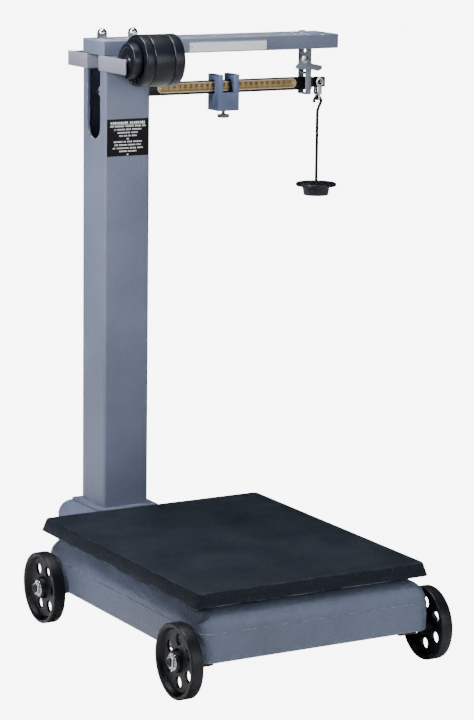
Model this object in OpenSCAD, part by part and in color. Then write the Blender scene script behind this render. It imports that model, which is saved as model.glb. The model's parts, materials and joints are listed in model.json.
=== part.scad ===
// Portable platform beam scale: a wheeled cast base with a loose platform, a square pillar at the
// back, a shelf over the pillar and a graduated steelyard beam under the shelf.
// The modules are written in the platform's own frame: x to the right along the beam, y towards the
// pillar, z up from the floor, with x = y = 0 under the middle of the platform. in_row_frame()
// then moves everything so that the origin is under the middle of the whole scale.

/* [Platform] */
// Width of the platform plate
platform_w = 508; // [420:1:640]
// Length of the platform plate, front to back
platform_l = 660; // [560:1:800]
// Thickness of the platform plate
platform_t = 27; // [18:1:40]
// How far each edge of the plate leans out from its top to its bottom
platform_draft = 7; // [2:1:12]
// Radius of the plate's corners
platform_corner_r = 10; // [4:1:24]
// Gap between the casting's top and the plate
platform_gap = 6; // [3:1:12]

/* [Base casting] */
// Height of the casting's lower edge above the floor
skirt_z = 75; // [66:1:100]
// Height of the straight skirt
skirt_h = 57; // [44:1:90]
// Radius of the rounded shoulder above the skirt, and of the casting's corners
shoulder_r = 42; // [30:1:50]
// Plan radius of the base's upright corners
base_corner_r = 26; // [24:1:34]
// How much wider each side of the casting is than the platform's top edge
base_margin = 2; // [0:1:8]
// How much further forward than the platform's top the casting reaches
base_front_margin = 22; // [10:1:40]
// How far the platform reaches over the casting's back edge
base_rear_overhang = 8; // [2:1:20]
// Step between the skirt's lip and the shoulder
lip_step = 2; // [1:0.5:4]
// Wall thickness of the casting
base_wall = 8; // [6:1:12]
// Width of the ledge round the opening under the platform
ledge_w = 60; // [50:1:90]

/* [Pillar] */
// Sideways place of the pillar from the middle of the platform
pillar_x = -43; // [-80:1:40]
// Width of the square pillar
pillar_w = 105; // [90:0.1:130]
// Wall thickness of the pillar
pillar_wall = 5; // [3:0.5:6]
// Gap between the back of the platform and the pillar's boss
boss_gap = 8; // [6:1:20]
// Distance from the boss's front to the pillar's axis
boss_reach = 77.5; // [77:0.5:110]
// Half of the boss's width
boss_half_w = 100; // [98:1:140]
// Height of the boss above the casting's shoulder
boss_rise = 21; // [12:1:30]
// Radius of the boss's top edges
boss_r = 30; // [20:1:34]
// Plan radius of the boss's upright corners
boss_corner_r = 38; // [24:1:44]
// Thickness of the pillar's foot plate
foot_t = 6; // [4:1:10]
// How far the foot plate reaches past the pillar
foot_margin = 17; // [15:1:22]
// Length of the pillar
pillar_l = 956; // [850:1:1150]
// Width of the slots in the pillar's left and right walls
slot_w = 58; // [52:1:66]
// Length of the slot in the left wall
slot_l = 176; // [140:1:240]
// Length of the slot in the right wall, where the beam comes out
beam_slot_l = 112; // [104:1:160]

/* [Shelf] */
// Length of the shelf past the pillar's axis
shelf_reach = 514; // [480:1:640]
// How far the shelf reaches behind the pillar's axis
shelf_tail = 54.5; // [54:0.5:70]
// Width of the shelf
shelf_w = 97; // [94:1:98]
// Height of the shelf's flanges
shelf_h = 31; // [24:1:40]
// Thickness of the shelf's sheet
shelf_t = 3; // [2:0.5:4]
// Length of the nameplate
nameplate_l = 189; // [120:1:240]
// Height of the nameplate
nameplate_h = 22; // [12:1:22]
// Distance from the pillar's axis to the nameplate
nameplate_x = 146; // [120:1:220]

/* [Beam] */
// Height of the beam's middle below the top of the pillar
beam_drop = 77.5; // [74:0.5:90]
// Height of the beam's bar
beam_h = 28; // [24:1:28]
// Thickness of the beam's bar
beam_t = 6; // [5:0.5:6]
// Distance from the load pivot to the fulcrum
load_arm = 25; // [22:1:30]
// Distance from the fulcrum to the pivot at the beam's nose
nose_arm = 468; // [450:1:480]
// Distance from the load pivot to the beam's butt end
butt_l = 19; // [18:1:24]
// How far the beam reaches past its nose pivot
tip_over = 17; // [12:1:24]
// Length of the thinner end of the beam
tip_l = 34; // [28:1:40]
// Height of the thinner end of the beam
tip_h = 21.5; // [20:0.5:22]
// Height of the knife edges above the beam's middle
pivot_rise = 6.5; // [5:0.5:7]
// Length of the graduated plate
scale_l = 340; // [300:1:345]
// Height of the graduated plate
scale_h = 20; // [16:1:22]
// Thickness of the graduated plate
scale_t = 1; // [0.5:0.1:1]

/* [Poise] */
// Distance from the pillar's axis to the middle of the poise
poise_x = 257.5; // [140:0.5:390]
// Length of the poise along the beam
poise_l = 51; // [44:1:60]
// Width of the poise across the beam
poise_w = 46; // [36:1:56]
// Height of the poise
poise_h = 77; // [74:1:90]
// Width of the notch in the top of the poise
poise_notch_w = 28; // [20:1:32]
// Height of the poise above the beam's middle
poise_rise = 26.5; // [24:0.5:34]

/* [Counterpoise] */
// Radius of the hanger's plate
hanger_plate_r = 44.5; // [36:0.5:56]
// Thickness of the hanger's plate
hanger_plate_t = 7; // [5:1:10]
// Distance from the hook's top down to the plate
hanger_l = 188; // [150:1:260]
// Radius of the hanger's rod
hanger_rod_r = 3.2; // [3:0.1:3.5]
// Radius of the large weights
weight_r = 53.5; // [46:0.5:62]
// Radius of the small weight
small_weight_r = 36.5; // [28:0.5:44]
// Thickness of the small weight
small_weight_t = 20; // [14:0.5:26]
// Thickness of the first large weight
weight_1_t = 20; // [14:0.5:26]
// Thickness of the second large weight
weight_2_t = 45; // [30:0.5:52]
// Thickness of the third large weight
weight_3_t = 23; // [14:0.5:28]
// Height of the rack's strip
rack_h = 31; // [26:1:40]
// Thickness of the rack's strip
rack_t = 3; // [2:0.5:4]
// Distance from the pillar's axis forward to the weights' peg
front_peg_y = 133.5; // [125:0.5:150]
// Distance from the pillar's axis back to the spare peg
rear_peg_y = 103; // [90:0.5:125]

/* [Wheels] */
// Radius of the wheels
wheel_r = 74; // [70:1:84]
// Width of a wheel's rim and hub
wheel_w = 26; // [24:1:40]
// Radius of the axles
axle_r = 9; // [7:0.5:10]
// Gap between the casting's side and a wheel
wheel_gap = 12; // [5:1:14]
// Distance from the middle of the platform forward to the front axle
front_axle_y = 303; // [270:1:310]
// Distance from the middle of the platform back to the rear axle
rear_axle_y = 278; // [240:1:285]

/* [Levers] */
// Distance between a lever's fulcrum and its load pivot
lever_arm = 30; // [26:1:36]
// Distance from the front axle back to the long lever's fulcrum
long_fulcrum_back = 23; // [20:1:30]
// Distance from the rear axle forward to the short lever's fulcrum
short_fulcrum_fwd = 8; // [4:1:14]
// Sideways distance from the middle to each lever's end
lever_half_w = 150; // [140:1:160]
// Width of a lever's arms
lever_w = 16; // [12:1:20]

/* [Fits] */
// Radial running clearance of every turning pin
run_gap = 0.05; // [0.02:0.01:0.1]
// Gap between pieces that come apart or move past each other
loose_gap = 0.4; // [0.3:0.05:0.8]

/* [Hidden] */
$fn = 64;
cut = 1;            // how far a cutting tool runs past a face
base_top = skirt_z + skirt_h + shoulder_r;
platform_bottom = base_top + platform_gap;
platform_top = platform_bottom + platform_t;
base_half_w = platform_w / 2 + base_margin;
base_front = platform_l / 2 + base_front_margin;
base_rear = platform_l / 2 - base_rear_overhang;
wheel_y = [-front_axle_y, rear_axle_y];
boss_front = platform_l / 2 + platform_draft + boss_gap;
pillar_y = boss_front + boss_reach;
boss_back = pillar_y + 99.5;
boss_top = base_top + boss_rise;
foot_top = boss_top + foot_t;
pillar_top = foot_top + pillar_l;
pillar_left = pillar_x - pillar_w / 2;
pillar_right = pillar_x + pillar_w / 2;
pillar_front = pillar_y - pillar_w / 2;
pillar_r = 6;       // radius of the pillar's upright edges
foot_bolt = pillar_w / 2 + foot_margin / 2;
rod_hole_r = 22;

shelf_top = pillar_top + shelf_h;
shelf_under = shelf_top - shelf_t;
shelf_left = pillar_x - shelf_tail;
shelf_right = pillar_x + shelf_reach;
shelf_front = pillar_y - shelf_w / 2;

beam_z = pillar_top - beam_drop;
pivot_z = beam_z + pivot_rise;
load_x = pillar_x;
fulcrum_x = load_x + load_arm;
nose_x = fulcrum_x + nose_arm;
beam_butt = load_x - butt_l;
beam_tip = nose_x + tip_over;
tip_z = beam_z + 1.25;
scale_x = pillar_x + 96;
scale_under = 1;    // how far the plate lies above the middle of the beam
knife_w = 6;
knife_h = 6;
pivot_half = 20;    // half length of the fulcrum pivot
load_pivot_half = 12.4;
nose_pivot_half = 12;

stand_gap = 14;     // from the beam's middle to the stand's cheeks
stand_t = 5;
stand_half = 13;
stand_plate_t = 4;
stud_r = 5;
stud_y = 9.5;       // the studs stand behind the beam's middle
stud_front_x = pillar_x + 43;
stud_back_x = pillar_x - 29;
nut_r = 12;
nut_h = 12;

loop_x = nose_x - 34;
loop_w = 13;
loop_gap = 14;
loop_t = 3;
loop_play = 6.5;    // free travel of the beam above and below
loop_bottom = beam_z - beam_h / 2 - loop_play;
latch_x = loop_x - 14;
latch_z = pillar_top - 24;
latch_t = 3;
latch_y = pillar_y - loop_gap - loop_t - loose_gap;
latch_pin_a = -33;  // direction of the locking pin from the latch's pivot
latch_pin_d = 40;

poise_mid = pillar_x + poise_x;
poise_top = beam_z + poise_rise;
poise_bottom = poise_top - poise_h;
poise_slot = beam_t / 2 + scale_t + loose_gap;
screw_r = 3.5;
knob_r = 13;
knob_h = 7;
screw_drop = 9;     // bare length of the screw under the poise

ring_r = 10.5;
ring_hole_r = 5;
ring_z = pivot_z - ring_hole_r + loose_gap;
clevis_y = 9;
clevis_t = 3;
eye_z = ring_z - 33;
eye_hole_r = 4.5;
hook_r = 8.8;
hook_z = eye_z - hook_r;
hook_a = 20;        // how far the hook's arc runs below its middle on each side
plate_top = eye_z - hanger_l;
hub_h = 20;

peg_r = 4;
peg_z = pillar_top - peg_r;
rack_back = pillar_left - rack_t;
rack_inset = 32;
ear_past = 12;      // how far the rack's ears reach past their pegs
weight_slot = peg_r + loose_gap;
weight_x0 = rack_back + 9;
weight_x1 = weight_x0 + small_weight_t + loose_gap;
weight_x2 = weight_x1 + weight_1_t + loose_gap;
weight_x3 = weight_x2 + weight_2_t + loose_gap;
weight_end = weight_x3 + weight_3_t;
peg_end = weight_end + 8;

wheel_in = base_half_w + wheel_gap;
wheel_out = wheel_in + wheel_w;
wheel_z = wheel_r;
washer_r = 17;
washer_t = 2;
axle_nut_t = 6;
axle_nut_r = 14;
axle_half = wheel_out + loose_gap + washer_t + axle_nut_t + 2;
bracket_w = 34;
bracket_r = 19;
bracket_top = skirt_z + 44;
bracket_out = base_half_w - base_wall;
bracket_bolt_z = skirt_z + 30;

lever_z = skirt_z + 55;    // height of the knife edges under the platform
long_fulcrum = -front_axle_y + long_fulcrum_back;
short_fulcrum = rear_axle_y - short_fulcrum_fwd;
link_y = (long_fulcrum + short_fulcrum) / 2;
arm_top = lever_z + 9;
arm_bottom = lever_z - 9;
low_top = lever_z - 13;
low_bottom = lever_z - 29;
prong_t = 6;
prong_gap = 4;
lever_pivot_half = lever_w / 2 + prong_gap + prong_t + 2;
rod_r = 4;
frame_w = 20;
tie_w = 12;
frame_t = 22;
rib_w = 12;         // ribs and rim under the platform plate
skin_t = 12;
pocket_rows = 4;

shackle_top = lever_z + 30;
loop_low = beam_z - beam_h / 2 - 26;
balance_r = 11;
balance_w = 10;
balance_play = 6;
balance_screw_r = 2.5;
balance_screw_l = 2 * balance_play + balance_w + 4;

row_left = -axle_half;
row_right = max(shelf_right, nose_x + hanger_plate_r, axle_half);
row_front = -max(front_axle_y + wheel_r, base_front + lip_step);
row_back = max(pillar_y + rear_peg_y + ear_past, boss_back);
row_x = (row_left + row_right) / 2;
row_y = (row_front + row_back) / 2;

// ---------------------------------------------------------------- shared shapes

module in_row_frame() {
    translate([-row_x, -row_y, 0]) children();
}

// Rectangle between two corners, with round corners made of squares and circles
module round_rect(lo, hi, r) {
    translate([lo.x + r, lo.y]) square([hi.x - lo.x - 2 * r, hi.y - lo.y]);
    translate([lo.x, lo.y + r]) square([hi.x - lo.x, hi.y - lo.y - 2 * r]);
    for (x = [lo.x + r, hi.x - r])
        for (y = [lo.y + r, hi.y - r])
            translate([x, y]) circle(r);
}

// Outline of a block seen from the side, its two top corners rounded
module domed_outline(a, b, low, high, r) {
    translate([a, low]) square([b - a, high - low - r]);
    translate([a + r, low]) square([b - a - 2 * r, high - low]);
    for (x = [a + r, b - r])
        translate([x, high - r]) circle(r);
}

// Block between two corners whose upright edges and top edges are rounded
module domed_block(lo, hi, r, plan_r) {
    intersection() {
        translate([0, 0, lo.z]) linear_extrude(hi.z - lo.z) round_rect(lo, hi, plan_r);
        plate_xz(lo.y, hi.y) domed_outline(lo.x, hi.x, lo.z, hi.z, r);
        plate_yz(lo.x, hi.x) domed_outline(lo.y, hi.y, lo.z, hi.z, r);
    }
}

// Point a part of the way between two points
function along(from, to, part) = from + part * (to - from);

// Outline of a straight arm between two points of the ground plan
module strut(from, to, w) {
    d = to - from;
    translate(from) rotate(atan2(d.y, d.x)) translate([0, -w / 2]) square([norm(d), w]);
}

// Ground-plan outline made solid from z_low to z_high
module plate_xy(z_low, z_high) {
    translate([0, 0, z_low]) linear_extrude(z_high - z_low) children();
}

// Cylinder along x, y from a point
module rod_x(at, r, h) {
    translate(at) rotate([0, 90, 0]) cylinder(r = r, h = h);
}

module rod_y(at, r, h) {
    translate(at) rotate([-90, 0, 0]) cylinder(r = r, h = h);
}

// Outline drawn in x and z, made a plate from y_low to y_high
module plate_xz(y_low, y_high) {
    translate([0, y_high, 0]) rotate([90, 0, 0]) linear_extrude(y_high - y_low) children();
}

// Outline drawn in y and z, made a plate from x_low to x_high
module plate_yz(x_low, x_high) {
    translate([x_low, 0, 0]) rotate([90, 0, 90]) linear_extrude(x_high - x_low) children();
}

// Section of a knife edge whose edge is at the origin; up = 1 points it upwards
module knife_section(up) {
    polygon([[0, 0], [knife_w / 2, -up * knife_h], [-knife_w / 2, -up * knife_h]]);
}

// Knife edge along y through the beam
module beam_knife(x, up, half) {
    translate([x, 0, pivot_z]) plate_xz(pillar_y - half, pillar_y + half) knife_section(up);
}

// Knife edge along x through a lever arm
module lever_knife(x, y, up, half) {
    translate([0, y, lever_z]) plate_yz(x - half, x + half) knife_section(up);
}

module hex_head(across, h) {
    cylinder(r = across / sqrt(3), h = h, $fn = 6);
}

// ---------------------------------------------------------------- base

module base_hollow() {
    translate([0, 0, skirt_z - cut])
        linear_extrude(cut + skirt_h)
            round_rect([-base_half_w + base_wall, -base_front + base_wall],
                       [base_half_w - base_wall, base_rear - base_wall],
                       base_corner_r - base_wall - 2);
    domed_block([-base_half_w + base_wall, -base_front + base_wall, skirt_z + skirt_h - cut],
                [base_half_w - base_wall, base_rear - base_wall, base_top - base_wall],
                shoulder_r - base_wall, base_corner_r - base_wall - 2);
}

module boss_hollow() {
    domed_block([pillar_x - boss_half_w + base_wall, base_rear - 60, skirt_z - cut],
                [pillar_x + boss_half_w - base_wall, boss_front + 50, base_top - base_wall - 2],
                boss_r - base_wall, boss_corner_r - base_wall);
    domed_block([pillar_x - boss_half_w + base_wall, boss_front + base_wall, skirt_z - cut],
                [pillar_x + boss_half_w - base_wall, boss_back - base_wall, boss_top - base_wall],
                boss_r - base_wall, boss_corner_r - base_wall);
}

module base_casting() {
    in_row_frame() color([0.44, 0.47, 0.53])
    difference() {
        union() {
            translate([0, 0, skirt_z])
                linear_extrude(skirt_h)
                    round_rect([-base_half_w - lip_step, -base_front - lip_step],
                               [base_half_w + lip_step, base_rear + lip_step],
                               base_corner_r + lip_step);
            domed_block([-base_half_w, -base_front, skirt_z + skirt_h - cut],
                        [base_half_w, base_rear, base_top], shoulder_r, base_corner_r);
            domed_block([pillar_x - boss_half_w, base_rear - 70, skirt_z],
                        [pillar_x + boss_half_w, boss_front + 60, base_top - 2], boss_r, boss_corner_r);
            domed_block([pillar_x - boss_half_w, boss_front, skirt_z],
                        [pillar_x + boss_half_w, boss_back, boss_top], boss_r, boss_corner_r);
        }
        base_hollow();
        boss_hollow();
        // opening that the weighbridge stands in
        translate([0, 0, base_top - base_wall - cut])
            linear_extrude(base_wall + 2 * cut)
                round_rect([-base_half_w + ledge_w, -base_front + ledge_w],
                           [base_half_w - ledge_w, base_rear - ledge_w], 20);
        // way for the steelyard rod
        translate([pillar_x, pillar_y, boss_top - base_wall - cut])
            cylinder(r = rod_hole_r, h = base_wall + 2 * cut);
        for (y = wheel_y)
            rod_x([-base_half_w - 10, y, wheel_z], axle_r + 2, 2 * base_half_w + 20);
    }
}

module axle(y) {
    in_row_frame() color([0.30, 0.30, 0.31])
        rod_x([-axle_half, y, wheel_z], axle_r, 2 * axle_half);
}

module front_axle() axle(wheel_y[0]);
module rear_axle() axle(wheel_y[1]);

module at_brackets() {
    for (side = [-1, 1])
        for (y = wheel_y)
            translate([0, y, 0])
                mirror([side < 0 ? 1 : 0, 0, 0]) children();
}

// Cast bearing under each corner that carries an axle
module axle_brackets() {
    in_row_frame() color([0.42, 0.20, 0.17])
    at_brackets()
        difference() {
            union() {
                rod_x([bracket_out - bracket_w, 0, wheel_z], bracket_r, bracket_w);
                translate([bracket_out - bracket_w, -bracket_r, wheel_z])
                    cube([bracket_w, 2 * bracket_r, bracket_top - wheel_z]);
            }
            rod_x([bracket_out - bracket_w - cut, 0, wheel_z], axle_r, bracket_w + 2 * cut);
            for (y = [-11, 11])
                rod_x([bracket_out - bracket_w - cut, y, bracket_bolt_z], 4, bracket_w + 2 * cut);
        }
}

module bracket_bolts() {
    in_row_frame() color([0.35, 0.36, 0.38])
    at_brackets()
        for (y = [-11, 11]) {
            rod_x([bracket_out - bracket_w, y, bracket_bolt_z], 4, bracket_w);
            translate([bracket_out - bracket_w, y, bracket_bolt_z]) rotate([0, -90, 0])
                hex_head(13, 5);
        }
}

module axle_spacers() {
    in_row_frame() color([0.33, 0.34, 0.36])
    at_brackets()
        difference() {
            rod_x([bracket_out, 0, wheel_z], axle_r + 1.8, wheel_in - bracket_out - loose_gap);
            rod_x([bracket_out - cut, 0, wheel_z], axle_r, wheel_in - bracket_out + 2 * cut);
        }
}

module axle_washers() {
    in_row_frame() color([0.72, 0.73, 0.74])
    at_brackets()
        difference() {
            rod_x([wheel_out + loose_gap, 0, wheel_z], washer_r, washer_t);
            rod_x([wheel_out, 0, wheel_z], axle_r, washer_t + 2);
        }
}

module axle_nuts() {
    in_row_frame() color([0.66, 0.67, 0.69])
    at_brackets()
        difference() {
            translate([wheel_out + loose_gap + washer_t, 0, wheel_z]) rotate([0, 90, 0])
                cylinder(r = axle_nut_r, h = axle_nut_t, $fn = 6);
            rod_x([wheel_out + washer_t, 0, wheel_z], axle_r, axle_nut_t + 2);
        }
}

// One half of a wheel's section, radius first and place along the axle second
module wheel_section() {
    rim = 9;
    hub_r = 21;
    web_in = 8;
    web_t = 7;
    chamfer = 2;
    polygon([
        [axle_r + run_gap, 0], [hub_r - chamfer, 0], [hub_r, chamfer], [hub_r + 2, web_in],
        [wheel_r - rim - 4, web_in], [wheel_r - rim, 3], [wheel_r - rim + 2, 0],
        [wheel_r - chamfer, 0], [wheel_r, chamfer], [wheel_r, wheel_w - chamfer],
        [wheel_r - chamfer, wheel_w], [wheel_r - rim + 2, wheel_w], [wheel_r - rim, wheel_w - 3],
        [wheel_r - rim - 4, web_in + web_t], [hub_r + 2, web_in + web_t],
        [hub_r, wheel_w - chamfer], [hub_r - chamfer, wheel_w], [axle_r + run_gap, wheel_w]
    ]);
}

module wheel(y, side, turn) {
    hole_r = 11;
    hole_at = 42;
    in_row_frame() color([0.10, 0.10, 0.11])
    mirror([side < 0 ? 1 : 0, 0, 0])
    translate([wheel_in, y, wheel_z]) rotate([0, 90, 0])
        difference() {
            rotate_extrude() wheel_section();
            for (a = [0:60:359])
                rotate([0, 0, a + turn]) translate([hole_at, 0, -cut])
                    cylinder(r = hole_r, h = wheel_w + 2 * cut);
        }
}

module wheel_front_left() wheel(wheel_y[0], -1, 0);
module wheel_front_right() wheel(wheel_y[0], 1, 0);
module wheel_rear_left() wheel(wheel_y[1], -1, 25);
module wheel_rear_right() wheel(wheel_y[1], 1, 25);

// ---------------------------------------------------------------- lever work in the base

// One bearing stand: a foot on the end wall and two prongs that carry the fulcrum pivot
module lever_stand(wall_y, fulcrum_y) {
    way = wall_y < fulcrum_y ? 1 : -1;
    reach = abs(fulcrum_y - wall_y);
    half = lever_w / 2 + prong_gap + prong_t;
    foot_z = arm_bottom - 4;
    difference() {
        translate([0, wall_y, 0]) mirror([0, way < 0 ? 1 : 0, 0]) {
            translate([-half, 0, foot_z - 12]) cube([2 * half, reach + 8, 12]);
            translate([-half, 0, foot_z - cut])
                cube([2 * half, 8, skirt_z + skirt_h - foot_z + cut]);
            for (x = [-half, half - prong_t])
                translate([x, reach - 8, foot_z - cut])
                    cube([prong_t, 16, lever_z + 3 - foot_z + cut]);
        }
        translate([0, fulcrum_y, lever_z - loose_gap])
            plate_yz(-half - cut, half + cut)
                polygon([[0, 0], [12, 8], [-12, 8]]);
    }
}

module lever_stands() {
    in_row_frame() color([0.30, 0.31, 0.33])
    for (x = [-lever_half_w, lever_half_w])
        translate([x, 0, 0]) {
            lever_stand(-base_front + base_wall, long_fulcrum);
            lever_stand(base_rear - base_wall, short_fulcrum);
        }
}

module stand_bolts() {
    z = arm_bottom + 3.5;
    in_row_frame() color([0.35, 0.36, 0.38])
    for (x = [-lever_half_w, lever_half_w]) {
        translate([x, -base_front + base_wall + 8, z]) rotate([-90, 0, 0]) hex_head(13, 5);
        translate([x, base_rear - base_wall - 8, z]) rotate([90, 0, 0]) hex_head(13, 5);
    }
}

// End of a lever arm: a block that holds the fulcrum pivot and the load pivot
module lever_end(fulcrum_y, load_y, past) {
    way = sign(load_y - fulcrum_y) * [0, 1];
    for (x = [-lever_half_w, lever_half_w])
        strut([x, fulcrum_y] - 10 * way, [x, load_y] + past * way, lever_w);
}

module lever_knives(fulcrum_y, load_y) {
    for (x = [-lever_half_w, lever_half_w]) {
        lever_knife(x, fulcrum_y, -1, lever_pivot_half);
        lever_knife(x, load_y, 1, lever_pivot_half);
    }
}

// Pivots of the long lever: two fulcrums, two load pivots, the link's pivot and the nose pivot
module long_knives() {
    lever_knives(long_fulcrum, long_fulcrum + lever_arm);
    lever_knife(pillar_x, link_y, 1, lever_pivot_half);
    lever_knife(pillar_x, pillar_y, -1, lever_pivot_half);
}

module long_lever() {
    load_y = long_fulcrum + lever_arm;
    meet = [pillar_x, link_y - 40];
    left = [-lever_half_w, load_y + 18];
    right = [lever_half_w, load_y + 18];
    in_row_frame() color([0.24, 0.25, 0.27])
    difference() {
        plate_xy(arm_bottom, arm_top) {
            lever_end(long_fulcrum, load_y, 24);
            strut(left, meet, lever_w);
            strut(right, meet, lever_w);
            strut(along(left, meet, 0.2), along(right, meet, 0.2), tie_w);
            strut(meet - [0, 12], [pillar_x, pillar_y + 12], lever_w);
        }
        long_knives();
    }
}

module long_lever_pivots() {
    in_row_frame() color([0.62, 0.63, 0.65]) long_knives();
}

module short_knives() {
    lever_knives(short_fulcrum, short_fulcrum - lever_arm);
    translate([0, 0, low_bottom + 8 - lever_z]) lever_knife(pillar_x, link_y, -1, lever_pivot_half);
}

module short_lever() {
    load_y = short_fulcrum - lever_arm;
    in_row_frame() color([0.24, 0.25, 0.27])
    difference() {
        union() {
            plate_xy(arm_bottom, arm_top) lever_end(short_fulcrum, load_y, 10);
            plate_xy(low_bottom, arm_bottom)
                for (x = [-lever_half_w, lever_half_w])
                    strut([x, load_y - 10], [x, load_y + 10], lever_w);
            plate_xy(low_bottom, low_top) {
                for (x = [-lever_half_w, lever_half_w])
                    strut([x, load_y], [pillar_x, link_y + 20], lever_w);
                strut([pillar_x, link_y + 30], [pillar_x, link_y - 12], lever_w);
            }
        }
        short_knives();
    }
}

module short_lever_pivots() {
    in_row_frame() color([0.62, 0.63, 0.65]) short_knives();
}

// Two straps that hang from the long lever and carry the short lever's nose
module lever_link() {
    low = low_bottom + 8;
    hole_r = 7;
    strap_x = lever_w / 2 + prong_gap;
    in_row_frame() color([0.50, 0.51, 0.53])
    for (side = [-1, 1])
        translate([pillar_x + side * (strap_x + 2), link_y, 0])
            plate_yz(-2, 2)
                difference() {
                    round_rect([-12, low - 14], [12, lever_z + 12], 11);
                    translate([0, lever_z - hole_r + loose_gap]) circle(hole_r);
                    translate([0, low + hole_r - loose_gap]) circle(hole_r);
                }
}

module weighbridge_at() {
    for (x = [-lever_half_w, lever_half_w])
        for (y = [long_fulcrum + lever_arm, short_fulcrum - lever_arm])
            translate([x, y, 0]) children();
}

// Frame under the platform, with a forked foot over each load pivot
module weighbridge() {
    top = platform_bottom - loose_gap;
    y0 = long_fulcrum + lever_arm;
    y1 = short_fulcrum - lever_arm;
    half = lever_w / 2 + prong_gap + prong_t;
    low = top - frame_t;
    in_row_frame() color([0.27, 0.28, 0.30]) {
        for (x = [-lever_half_w, lever_half_w])
            translate([x - frame_w / 2, y0 - frame_w / 2, low])
                cube([frame_w, y1 - y0 + frame_w, frame_t]);
        for (y = [y0, y1])
            translate([-lever_half_w, y - frame_w / 2, low])
                cube([2 * lever_half_w, frame_w, frame_t]);
        weighbridge_at() {
            translate([-half, -8, low - 6]) cube([2 * half, 16, 12]);
            for (x = [-half, half - prong_t])
                translate([x, -8, lever_z + 5]) cube([prong_t, 16, low - lever_z - 5]);
        }
    }
}

module weighbridge_bearings() {
    half = lever_w / 2 + prong_gap + prong_t;
    in_row_frame() color([0.62, 0.63, 0.65])
    weighbridge_at()
        for (x = [-half, half - prong_t])
            translate([x, -8, lever_z + loose_gap]) cube([prong_t, 16, 5 - loose_gap]);
}

// Cast plate with a flat top and ribs below; it rests on the weighbridge's long bars
module platform() {
    half_w = platform_w / 2;
    half_l = platform_l / 2;
    outer_w = half_w + platform_draft;
    outer_l = half_l + platform_draft;
    bay_end = lever_half_w - frame_w / 2 - 2;
    bay_mid = (bay_end + rib_w / 2) / 2;
    in_row_frame() color([0.09, 0.10, 0.12])
    difference() {
        intersection() {
            plate_yz(-outer_w, outer_w)
                polygon([[-outer_l, platform_bottom], [outer_l, platform_bottom],
                         [half_l, platform_top], [-half_l, platform_top]]);
            plate_xz(-outer_l, outer_l)
                polygon([[-outer_w, platform_bottom], [outer_w, platform_bottom],
                         [half_w, platform_top], [-half_w, platform_top]]);
            translate([0, 0, platform_bottom])
                linear_extrude(platform_t)
                    round_rect([-outer_w, -outer_l], [outer_w, outer_l], platform_corner_r);
        }
        for (side = [-1, 1])
            mirror([side < 0 ? 1 : 0, 0, 0]) {
                pockets(rib_w / 2, bay_mid - rib_w / 2);
                pockets(bay_mid + rib_w / 2, bay_end);
                pockets(lever_half_w + frame_w / 2 + 2, half_w - rib_w);
            }
    }
}

// Row of pockets in the underside between two ribs, x from low to high
module pockets(low, high) {
    l = (platform_l - (pocket_rows + 1) * rib_w) / pocket_rows;
    for (i = [0:pocket_rows - 1])
        translate([low, -platform_l / 2 + rib_w + i * (l + rib_w), platform_bottom - cut])
            cube([high - low, l, platform_t - skin_t + cut]);
}

// ---------------------------------------------------------------- pillar

module pillar() {
    slot_z = pillar_top - slot_l + slot_w / 2;
    in_row_frame() color([0.47, 0.50, 0.56])
    difference() {
        translate([0, 0, foot_top])
            linear_extrude(pillar_l)
                difference() {
                    round_rect([pillar_left, pillar_front], [pillar_right, pillar_front + pillar_w],
                               pillar_r);
                    translate([pillar_left + pillar_wall, pillar_front + pillar_wall])
                        square(pillar_w - 2 * pillar_wall);
                }
        // access slot in the left wall, round at its foot and open at the top
        translate([0, pillar_y, slot_z])
            plate_yz(pillar_left - cut, pillar_left + pillar_wall + cut) {
                circle(slot_w / 2);
                translate([-slot_w / 2, 0]) square([slot_w, slot_l]);
            }
        // way out for the beam in the right wall
        translate([pillar_right - pillar_wall - cut, pillar_y - slot_w / 2,
                   pillar_top - beam_slot_l])
            cube([pillar_wall + 2 * cut, slot_w, beam_slot_l + cut]);
    }
}

module at_foot_bolts() {
    for (x = [-foot_bolt, foot_bolt])
        for (y = [-foot_bolt, foot_bolt])
            translate([pillar_x + x, pillar_y + y, 0]) children();
}

module pillar_foot() {
    half = pillar_w / 2 + foot_margin;
    in_row_frame() color([0.47, 0.50, 0.56])
    difference() {
        translate([pillar_x, pillar_y, boss_top])
            linear_extrude(foot_t) round_rect([-half, -half], [half, half], 6);
        translate([pillar_x, pillar_y, boss_top - cut])
            cylinder(r = rod_hole_r, h = foot_t + 2 * cut);
    }
}

module foot_bolts() {
    in_row_frame() color([0.47, 0.50, 0.56])
    at_foot_bolts() translate([0, 0, foot_top]) cylinder(r = 5.5, h = 1);
}

module instruction_label() {
    label_w = 97;
    label_h = 77;
    label_t = 0.4;
    label_z = pillar_top - 208;
    in_row_frame() color([0.05, 0.05, 0.06])
        translate([pillar_x - label_w / 2, pillar_front - label_t, label_z])
            cube([label_w, label_t, label_h]);
}

// ---------------------------------------------------------------- weight rack

module rack_outline() {
    mid = slot_w / 2 - loose_gap;
    x = pillar_left;
    // plan of the strip: front ear, hat section let into the slot, rear ear
    translate([x - rack_t, pillar_y - front_peg_y - ear_past])
        square([rack_t, front_peg_y + ear_past - mid + rack_t]);
    translate([x - rack_t, pillar_y + mid - rack_t])
        square([rack_t, rear_peg_y + ear_past - mid + rack_t]);
    for (y = [-mid, mid - rack_t])
        translate([x - rack_t, pillar_y + y]) square([rack_inset + rack_t, rack_t]);
    translate([x + rack_inset - rack_t, pillar_y - mid]) square([rack_t, 2 * mid]);
}

module weight_rack() {
    in_row_frame() color([0.58, 0.61, 0.67])
        translate([0, 0, pillar_top - rack_h]) linear_extrude(rack_h) rack_outline();
}

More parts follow.
